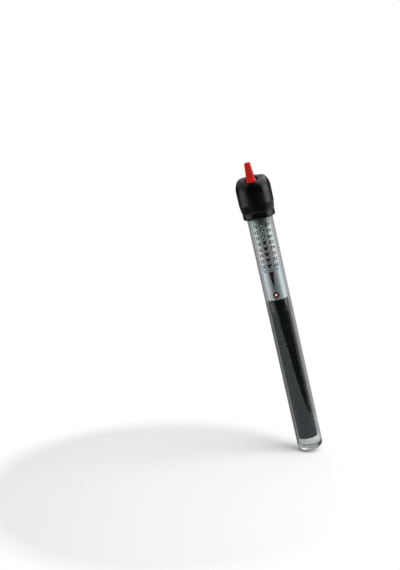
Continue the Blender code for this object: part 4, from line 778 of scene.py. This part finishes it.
def drawn_glass():
    """Clear glass with the faint lengthwise lines of drawn tubing. Lamps and soft light pass
    straight through its thin wall, and its thick foot shades the floor."""
    made, tree = blank("borosilicate_glass")
    lines = clouds(tree, 1.6, along=40.0, detail=1.0)
    gloss = add(tree, "MapRange", {"Value": lines, "To Min": 0.0, "To Max": 0.02})
    shader = add(tree, "BsdfPrincipled", {
        "Base Color": linear("#fafdfc"), "Roughness": gloss.outputs[0], "IOR": 1.473,
        "Transmission Weight": 1.0})
    place = add(tree, "TexCoord").outputs["Object"]
    height = add(tree, "SeparateXYZ", {0: place}).outputs[2]
    wall = add(tree, "MapRange", {"Value": height, "From Min": up(FOOT_SHADE[0]),
                                  "From Max": up(FOOT_SHADE[1])})
    passed = add(tree, "Mix", {0: wall.outputs[0], 6: linear("#030404"), 7: linear("#f4f8f7")},
                 data_type="RGBA")
    open_way = add(tree, "BsdfTransparent", {"Color": passed.outputs[2]})
    path = add(tree, "LightPath")
    lamps = add(tree, "MixShader", {0: path.outputs["Is Shadow Ray"], 1: shader.outputs[0],
                                    2: open_way.outputs[0]})
    soft = add(tree, "MixShader", {0: path.outputs["Is Diffuse Ray"], 1: lamps.outputs[0],
                                   2: open_way.outputs[0]})
    add(tree, "OutputMaterial", {"Surface": soft.outputs[0]})
    return made


settle(tube, drawn_glass(), "housing", "borosilicate_glass", "glass_tube")

# ---- Rubber cap --------------------------------------------------------------------------
# The real piece is moulded in one from black rubber. It is stretched over the mouth of the
# glass, has a pocket for the knob in its sloping top and a collar behind for the mains cord.

CAP_R = 16.4
CAP_SPAN = (230.0, 266.4)
CAP_FRONT_STRETCH = 1.06  # depth against width, in front and behind
CAP_REAR_STRETCH = 1.16
SHOULDER = (6.4, 10.3)  # width and height of the rounded shoulder
BAND_R = 15.0
BAND_TOP = 236.8
RIB = 0.4
SOCKET = (12.3, 252.6)  # radius and roof of the socket for the glass
SLOPE = (2.2, 20.0, 3.0)  # rise of the sloping top, its length, and where its crest is
SLOPE_DEPTH = 23.0
CROWN = 1.3
POCKET = (6.4, 263.0)  # radius and floor of the knob's pocket
BUSH_HOLE = (4.5, 261.9)  # radius and roof of the hole for the shaft bush's head
SHAFT_HOLE_LOW = 261.0
COLLAR_Y = 8.6
CORD_R = 3.4
COLLAR_WALL = 1.8
COLLAR_RISE = 1.7
COLLAR_ROOT = 1.1  # the collar starts this far above the socket's roof
CAP_FACE = 0.34  # size of a face that shows the pocket's edge, and the rounds of easing
CAP_EASING = 9


def bored(piece, radius, low, high, at, steps=96):
    """Cut an upright round hole."""
    bpy.ops.object.select_all(action="DESELECT")
    bpy.ops.mesh.primitive_cylinder_add(
        vertices=steps, radius=radius * MM, depth=(high - low) * MM,
        location=(at[0] * MM, at[1] * MM, up((low + high) / 2.0)))
    cut(piece, bpy.context.object)


def moulded(piece, face, passes):
    """Give a moulding the soft edges and fillets of its tool: fine even faces, then eased."""
    applied(piece, "REMESH", mode="VOXEL", voxel_size=face * MM, adaptivity=0.0)
    applied(piece, "SMOOTH", factor=0.5, iterations=passes)
    smooth(piece, 60.0)


low, high = CAP_SPAN
rim = [(-1.8, 0.0), (-0.5, 0.8), (0.0, 2.0), (-0.5, 3.0), (0.5, 4.0), (0.5, 5.5), (0.0, 6.5)]
cap = turned("moulded_cap", [
    (1.0, low), *[(BAND_R + RIB * out, low + RIB * rise) for out, rise in rim],
    (BAND_R, BAND_TOP), (BAND_R + RIB, BAND_TOP + RIB), (BAND_R + RIB * 2.0, BAND_TOP + RIB * 7.5),
    (CAP_R - RIB / 4.0, 2.0 * BAND_TOP - low),
    *[(CAP_R - SHOULDER[0] * (1.0 - wide), high - SHOULDER[1] * (1.0 - rise))
      for wide, rise in arc(0.0, 0.0, 1.0, 0.0, 90.0, 18)],
    *[(ring_r, high) for ring_r in (8.5, 7.0, 5.5, 4.0, 2.5, 1.0)]], steps=128)
# The round cap is stretched front and back, and its top is bent to a slope with a low crown.
for vertex in cap.data.vertices:
    vertex.co.y *= CAP_FRONT_STRETCH if vertex.co.y < 0.0 else CAP_REAR_STRETCH
    share = min(max((vertex.co.z - up(high - SLOPE_DEPTH)) / (SLOPE_DEPTH * MM), 0.0), 1.0)
    share = share * share * (3.0 - 2.0 * share)
    wave = math.cos(math.pi * (vertex.co.y - SLOPE[2] * MM) / (SLOPE[1] * MM))
    crown = CROWN * (vertex.co.x / (CAP_R * MM)) ** 2
    vertex.co.z += (SLOPE[0] * wave - crown) * share * MM
collar_r = CORD_R + COLLAR_WALL
collar_top = high + COLLAR_RISE
collar = turned("cord_collar", [
    (1.0, SOCKET[1] + COLLAR_ROOT), (collar_r, SOCKET[1] + COLLAR_ROOT),
    (collar_r, collar_top - 0.5),
    (collar_r - 0.15, collar_top - 0.15), (collar_r - 0.5, collar_top), (1.0, collar_top)],
    steps=64, at=(0.0, COLLAR_Y))
cut(cap, collar, "UNION")
bored(cap, SOCKET[0], low - 1.0, SOCKET[1], (0.0, 0.0), 128)
bored(cap, POCKET[0], POCKET[1], high + 5.0, (0.0, SHAFT_Y))
bored(cap, CORD_R, SOCKET[1] - 1.0, high + 5.0, (0.0, COLLAR_Y), 64)
bored(cap, BUSH_HOLE[0], SOCKET[1] - 1.0, BUSH_HOLE[1], (0.0, SHAFT_Y), 64)
bored(cap, SHAFT_HOLE_R, SHAFT_HOLE_LOW, high + 5.0, (0.0, SHAFT_Y), 48)
moulded(cap, CAP_FACE, CAP_EASING)
# Nitrile rubber, moulded: deep black, satin, with the faint grain of the mould.
moulded_rubber = finish("moulded_black_rubber", "#030404", "#060707", 0.9, (0.17, 0.22),
                        relief=0.006)
settle(cap, moulded_rubber, "housing", "cap_rubber", "rubber_cap")

# ---- Knob --------------------------------------------------------------------------------
# The real knob is moulded in glossy red plastic: a round flange that sweeps up into a tapered
# blade, pressed on the shaft.

KNOB_SPAN = (263.3, 282.2)
FLANGE_R = 5.3
BLADE_FOOT = (8.0, 8.6)  # width and depth
BLADE_TIP = (5.3, 7.5)
BLADE_EDGE = 1.3
BLADE_ROOT = 1.3  # the blade starts this far up inside the flange
KNOB_BORE = 11.8
KNOB_FACE = 0.2
KNOB_EASING = 6

low, high = KNOB_SPAN
knob = turned("moulded_knob", [
    (1.0, low), (FLANGE_R - 0.35, low), (FLANGE_R, low + 0.35), (FLANGE_R, low + 2.2),
    (FLANGE_R - 0.12, low + 2.5), (FLANGE_R - 0.5, low + 2.8), (4.45, low + 3.3),
    (4.2, low + 3.9), (4.05, low + 4.8), (3.95, low + 6.0), (1.0, low + 6.0)],
    steps=96, at=(0.0, SHAFT_Y))
bpy.ops.object.select_all(action="DESELECT")
bpy.ops.mesh.primitive_cube_add(size=1.0)
blade = bpy.context.object
root = low + BLADE_ROOT
blade.scale = (BLADE_FOOT[0] * MM, BLADE_FOOT[1] * MM, (high - root) * MM)
blade.location = (0.0, SHAFT_Y * MM, up((root + high) / 2.0))
bpy.ops.object.transform_apply(location=True, rotation=True, scale=True)
bpy.ops.object.mode_set(mode="EDIT")
bpy.ops.mesh.select_mode(type="VERT")
bpy.ops.mesh.select_all(action="DESELECT")
bpy.ops.object.mode_set(mode="OBJECT")
for vertex in blade.data.vertices:
    vertex.select = vertex.co.z > up(high) - MM
bpy.ops.object.mode_set(mode="EDIT")
bpy.ops.transform.resize(
    value=(BLADE_TIP[0] / BLADE_FOOT[0], BLADE_TIP[1] / BLADE_FOOT[1], 1.0),
    center_override=(0.0, SHAFT_Y * MM, up(high)))
bpy.ops.mesh.select_all(action="SELECT")
bpy.ops.mesh.bevel(offset=BLADE_EDGE * MM, segments=5, affect="EDGES")
bpy.ops.object.mode_set(mode="OBJECT")
cut(knob, blade, "UNION")
bored(knob, SHAFT_HOLE_R, low - 1.0, low + KNOB_BORE, (0.0, SHAFT_Y), 48)
moulded(knob, KNOB_FACE, KNOB_EASING)
# ABS, moulded in red: glossy, slightly uneven where it shrank in the mould.
red_abs = finish("moulded_red_abs", "#a80f08", "#b4150c", 1.4, (0.2, 0.27), relief=0.004)
settle(knob, red_abs, "adjuster", "knob_plastic", "adjusting_knob")

# ---- Camera, light and floor -------------------------------------------------------------
# A plain pale floor that runs into a white backdrop, and a studio that only gloss mirrors:
# soft panels at both sides and behind, and a dark room in front, overhead and below.

scene = bpy.context.scene
scene.view_settings.view_transform = "Standard"

# The lens, place and turn that lay the tube's foot, rim and lean where the photograph has them.
camera = bpy.data.objects.new("camera", bpy.data.cameras.new("camera"))
scene.collection.objects.link(camera)
camera.data.sensor_fit = "VERTICAL"
camera.data.sensor_height = 24.0
camera.data.lens = 46.316
camera.location = (79.0 * MM, -1003.5 * MM, 267.5 * MM)
camera.rotation_euler = [math.radians(turn) for turn in (78.045, 13.103, 5.628)]
scene.camera = camera

FACING = 4.5  # degrees that the camera stands round to the right
# Rings of grey levels, each as (degrees to the right of the camera, level).
SKIRT = ((-180, 0.3), (-168, 0.15), (-120, 0.1), (0, 0.02), (74, 0.02), (84, 0.42),
         (122, 0.45), (136, 0.36), (150, 0.38), (160, 0.24), (180, 0.2))
BELT = ((-180, 0.3), (-168, 0.24), (-125, 0.2), (-110, 1.05), (-80, 1.05), (-62, 0.72),
        (-48, 0.42), (-30, 0.14), (-10, 0.05), (10, 0.05), (30, 0.14), (48, 0.32), (62, 0.62),
        (78, 1.05), (110, 1.1), (128, 0.2), (138, 0.4), (168, 0.38), (180, 0.3))
PANELS = ((-180, 0.1), (-130, 0.04), (-115, 0.07), (-101, 1.05), (-70, 0.95), (-50, 0.01),
          (62, 0.01), (74, 2.2), (97, 2.3), (112, 0.5), (130, 0.04), (180, 0.1))
REAR = ((-180, 0.6), (-172, 0.6), (-130, 0.4), (-105, 0.4), (-66, 0.3), (-50, 0.01),
        (60, 0.01), (74, 1.0), (108, 1.6), (130, 2.1), (146, 2.0), (160, 0.8), (180, 0.6))
BASE = ((-180, 0.3), (-168, 0.15), (-120, 0.1), (-60, 0.05), (0, 0.03), (60, 0.05), (84, 0.7),
        (110, 0.7), (180, 0.5))
DARK_TOP = ((-180, 0.02), (180, 0.02))
# BASE is lowest. Each other ring takes over between two heights, the z of the way looked.
RINGS = ((SKIRT, -0.37, -0.34), (BELT, -0.2325, -0.227), (PANELS, -0.165, -0.15),
         (REAR, 0.28, 0.4), (DARK_TOP, 0.93, 0.99))
MATT_LIGHT = 0.6  # what is matt is lit by an even white instead of the rings

world = bpy.data.worlds.new("studio")
scene.world = world
world.use_nodes = True
tree = world.node_tree
tree.nodes.clear()
way = add(tree, "TexCoord").outputs["Generated"]
faced = add(tree, "Mapping", {"Vector": way, "Rotation": (0.0, 0.0, math.radians(-FACING))})
axes = add(tree, "SeparateXYZ", {0: faced.outputs[0]})
ahead = add(tree, "Math", {0: axes.outputs[1], 1: -1.0}, operation="MULTIPLY")
turn = add(tree, "Math", {0: axes.outputs[0], 1: ahead.outputs[0]}, operation="ARCTAN2")
share = add(tree, "MapRange", {"Value": turn.outputs[0], "From Min": -math.pi,
                               "From Max": math.pi})


def ring(stops):
    """The grey level that a ring has at the azimuth looked at."""
    ramp = add(tree, "ValToRGB", {0: share.outputs[0]})
    while len(ramp.color_ramp.elements) < len(stops):
        ramp.color_ramp.elements.new(0.5)
    for element, (degrees, level) in zip(ramp.color_ramp.elements, stops):
        element.position = degrees / 360.0 + 0.5
        element.color = (level, level, level, 1.0)
    return ramp.outputs[0]


light = ring(BASE)
for stops, start, end in RINGS:
    above = add(tree, "MapRange", {"Value": axes.outputs[2], "From Min": start,
                                   "From Max": end})
    light = add(tree, "Mix", {0: above.outputs[0], 6: light, 7: ring(stops)},
                data_type="RGBA").outputs[2]
studio = add(tree, "Background", {0: light})
backdrop = add(tree, "Background", {0: (1.0, 1.0, 1.0, 1.0)})
soft = add(tree, "Background", {0: (1.0, 1.0, 1.0, 1.0), 1: MATT_LIGHT})
path = add(tree, "LightPath")
matt = add(tree, "MixShader", {0: path.outputs["Is Diffuse Ray"], 1: studio.outputs[0],
                               2: soft.outputs[0]})
seen = add(tree, "MixShader", {0: path.outputs["Is Camera Ray"], 1: matt.outputs[0],
                               2: backdrop.outputs[0]})
add(tree, "OutputWorld", {"Surface": seen.outputs[0]})

# A large soft lamp above to the right. It lights what is matt and draws no highlight.
lamp = bpy.data.objects.new("soft_lamp", bpy.data.lights.new("soft_lamp", "AREA"))
scene.collection.objects.link(lamp)
lamp.data.shape = "DISK"
lamp.data.size = 0.6
lamp.data.energy = 4.9
lamp.location = (0.42, -0.12, 0.55)
lamp.rotation_euler = Vector(lamp.location).to_track_quat("Z", "Y").to_euler()
lamp.visible_glossy = False
lamp.visible_transmission = False

# The floor's up, seen from the tube: the tube leans in the picture and stands on its corner.
LEAN = (0.21042, 0.01061, 0.97755)
flat = math.hypot(LEAN[0], LEAN[1])
touch_r = TUBE_R - CORNER_R + CORNER_R * flat
touch = (-LEAN[0] / flat * touch_r * MM, -LEAN[1] / flat * touch_r * MM,
         up(CORNER_R * (1.0 - LEAN[2])))


def level_sheet(name, span):
    """A square sheet in the floor's plane, span mm wide, with its middle where the foot
    touches the floor."""
    bpy.ops.object.select_all(action="DESELECT")
    bpy.ops.mesh.primitive_plane_add(size=span * MM)
    sheet = bpy.context.object
    sheet.name = name
    lean_y = math.asin(LEAN[0])
    lean_x = -math.asin(LEAN[1] / math.cos(lean_y))
    sheet.rotation_euler = (lean_x, lean_y, 0.0)
    sheet.location = touch
    return sheet


floor = level_sheet("floor", 6000.0)
floor.visible_glossy = False
floor.visible_transmission = False
WHITE_OUT = (0.15, 0.18)  # metres from the middle of the lit part where the paper turns white
# Matt white paper, lit round the foot so that it takes the shadow, and pure white beyond.
paper, tree = blank("white_floor_paper")
place = add(tree, "TexCoord").outputs["Object"]
moved = add(tree, "Mapping", {"Vector": place, "Location": (0.12, 0.1, 0.0)})
off = add(tree, "VectorMath", {0: moved.outputs[0]}, operation="LENGTH").outputs["Value"]
far = add(tree, "MapRange", {"Value": off, "From Min": WHITE_OUT[0], "From Max": WHITE_OUT[1]})
diffuse = add(tree, "BsdfDiffuse", {0: linear("#e0e1e1")})
glow = add(tree, "Emission", {0: (1.0, 1.0, 1.0, 1.0)})
mixed = add(tree, "MixShader", {0: far.outputs[0], 1: diffuse.outputs[0], 2: glow.outputs[0]})
add(tree, "OutputMaterial", {"Surface": mixed.outputs[0]})
floor.data.materials.append(paper)

# A pale sheet lies 1 mm over the floor in front of the tube. The camera doesn't see it, but
# the sleeve and the cap mirror its outline.
SHEET_EDGE = ((-337.0, 0.0), (-312.0, -180.0), (-247.0, -341.0), (-208.0, -361.0),
              (-150.0, -323.0), (-15.0, -335.0), (112.0, -258.0), (235.0, -140.0),
              (290.0, -45.0), (250.0, 40.0), (150.0, 82.0), (30.0, 82.0), (0.0, 0.0))
mirrored = level_sheet("reflecting_sheet", 1.0)
mirrored.data.clear_geometry()
mirrored.data.from_pydata([(x * MM, y * MM, MM) for x, y in SHEET_EDGE], [],
                          [tuple(range(len(SHEET_EDGE)))])
mirrored.visible_camera = False
mirrored.visible_diffuse = False
mirrored.visible_shadow = False
glowing, tree = blank("white_sheet")
glow = add(tree, "Emission", {0: (0.37, 0.4, 0.415, 1.0)})
add(tree, "OutputMaterial", {"Surface": glow.outputs[0]})
mirrored.data.materials.append(glowing)

bpy.context.view_layer.update()
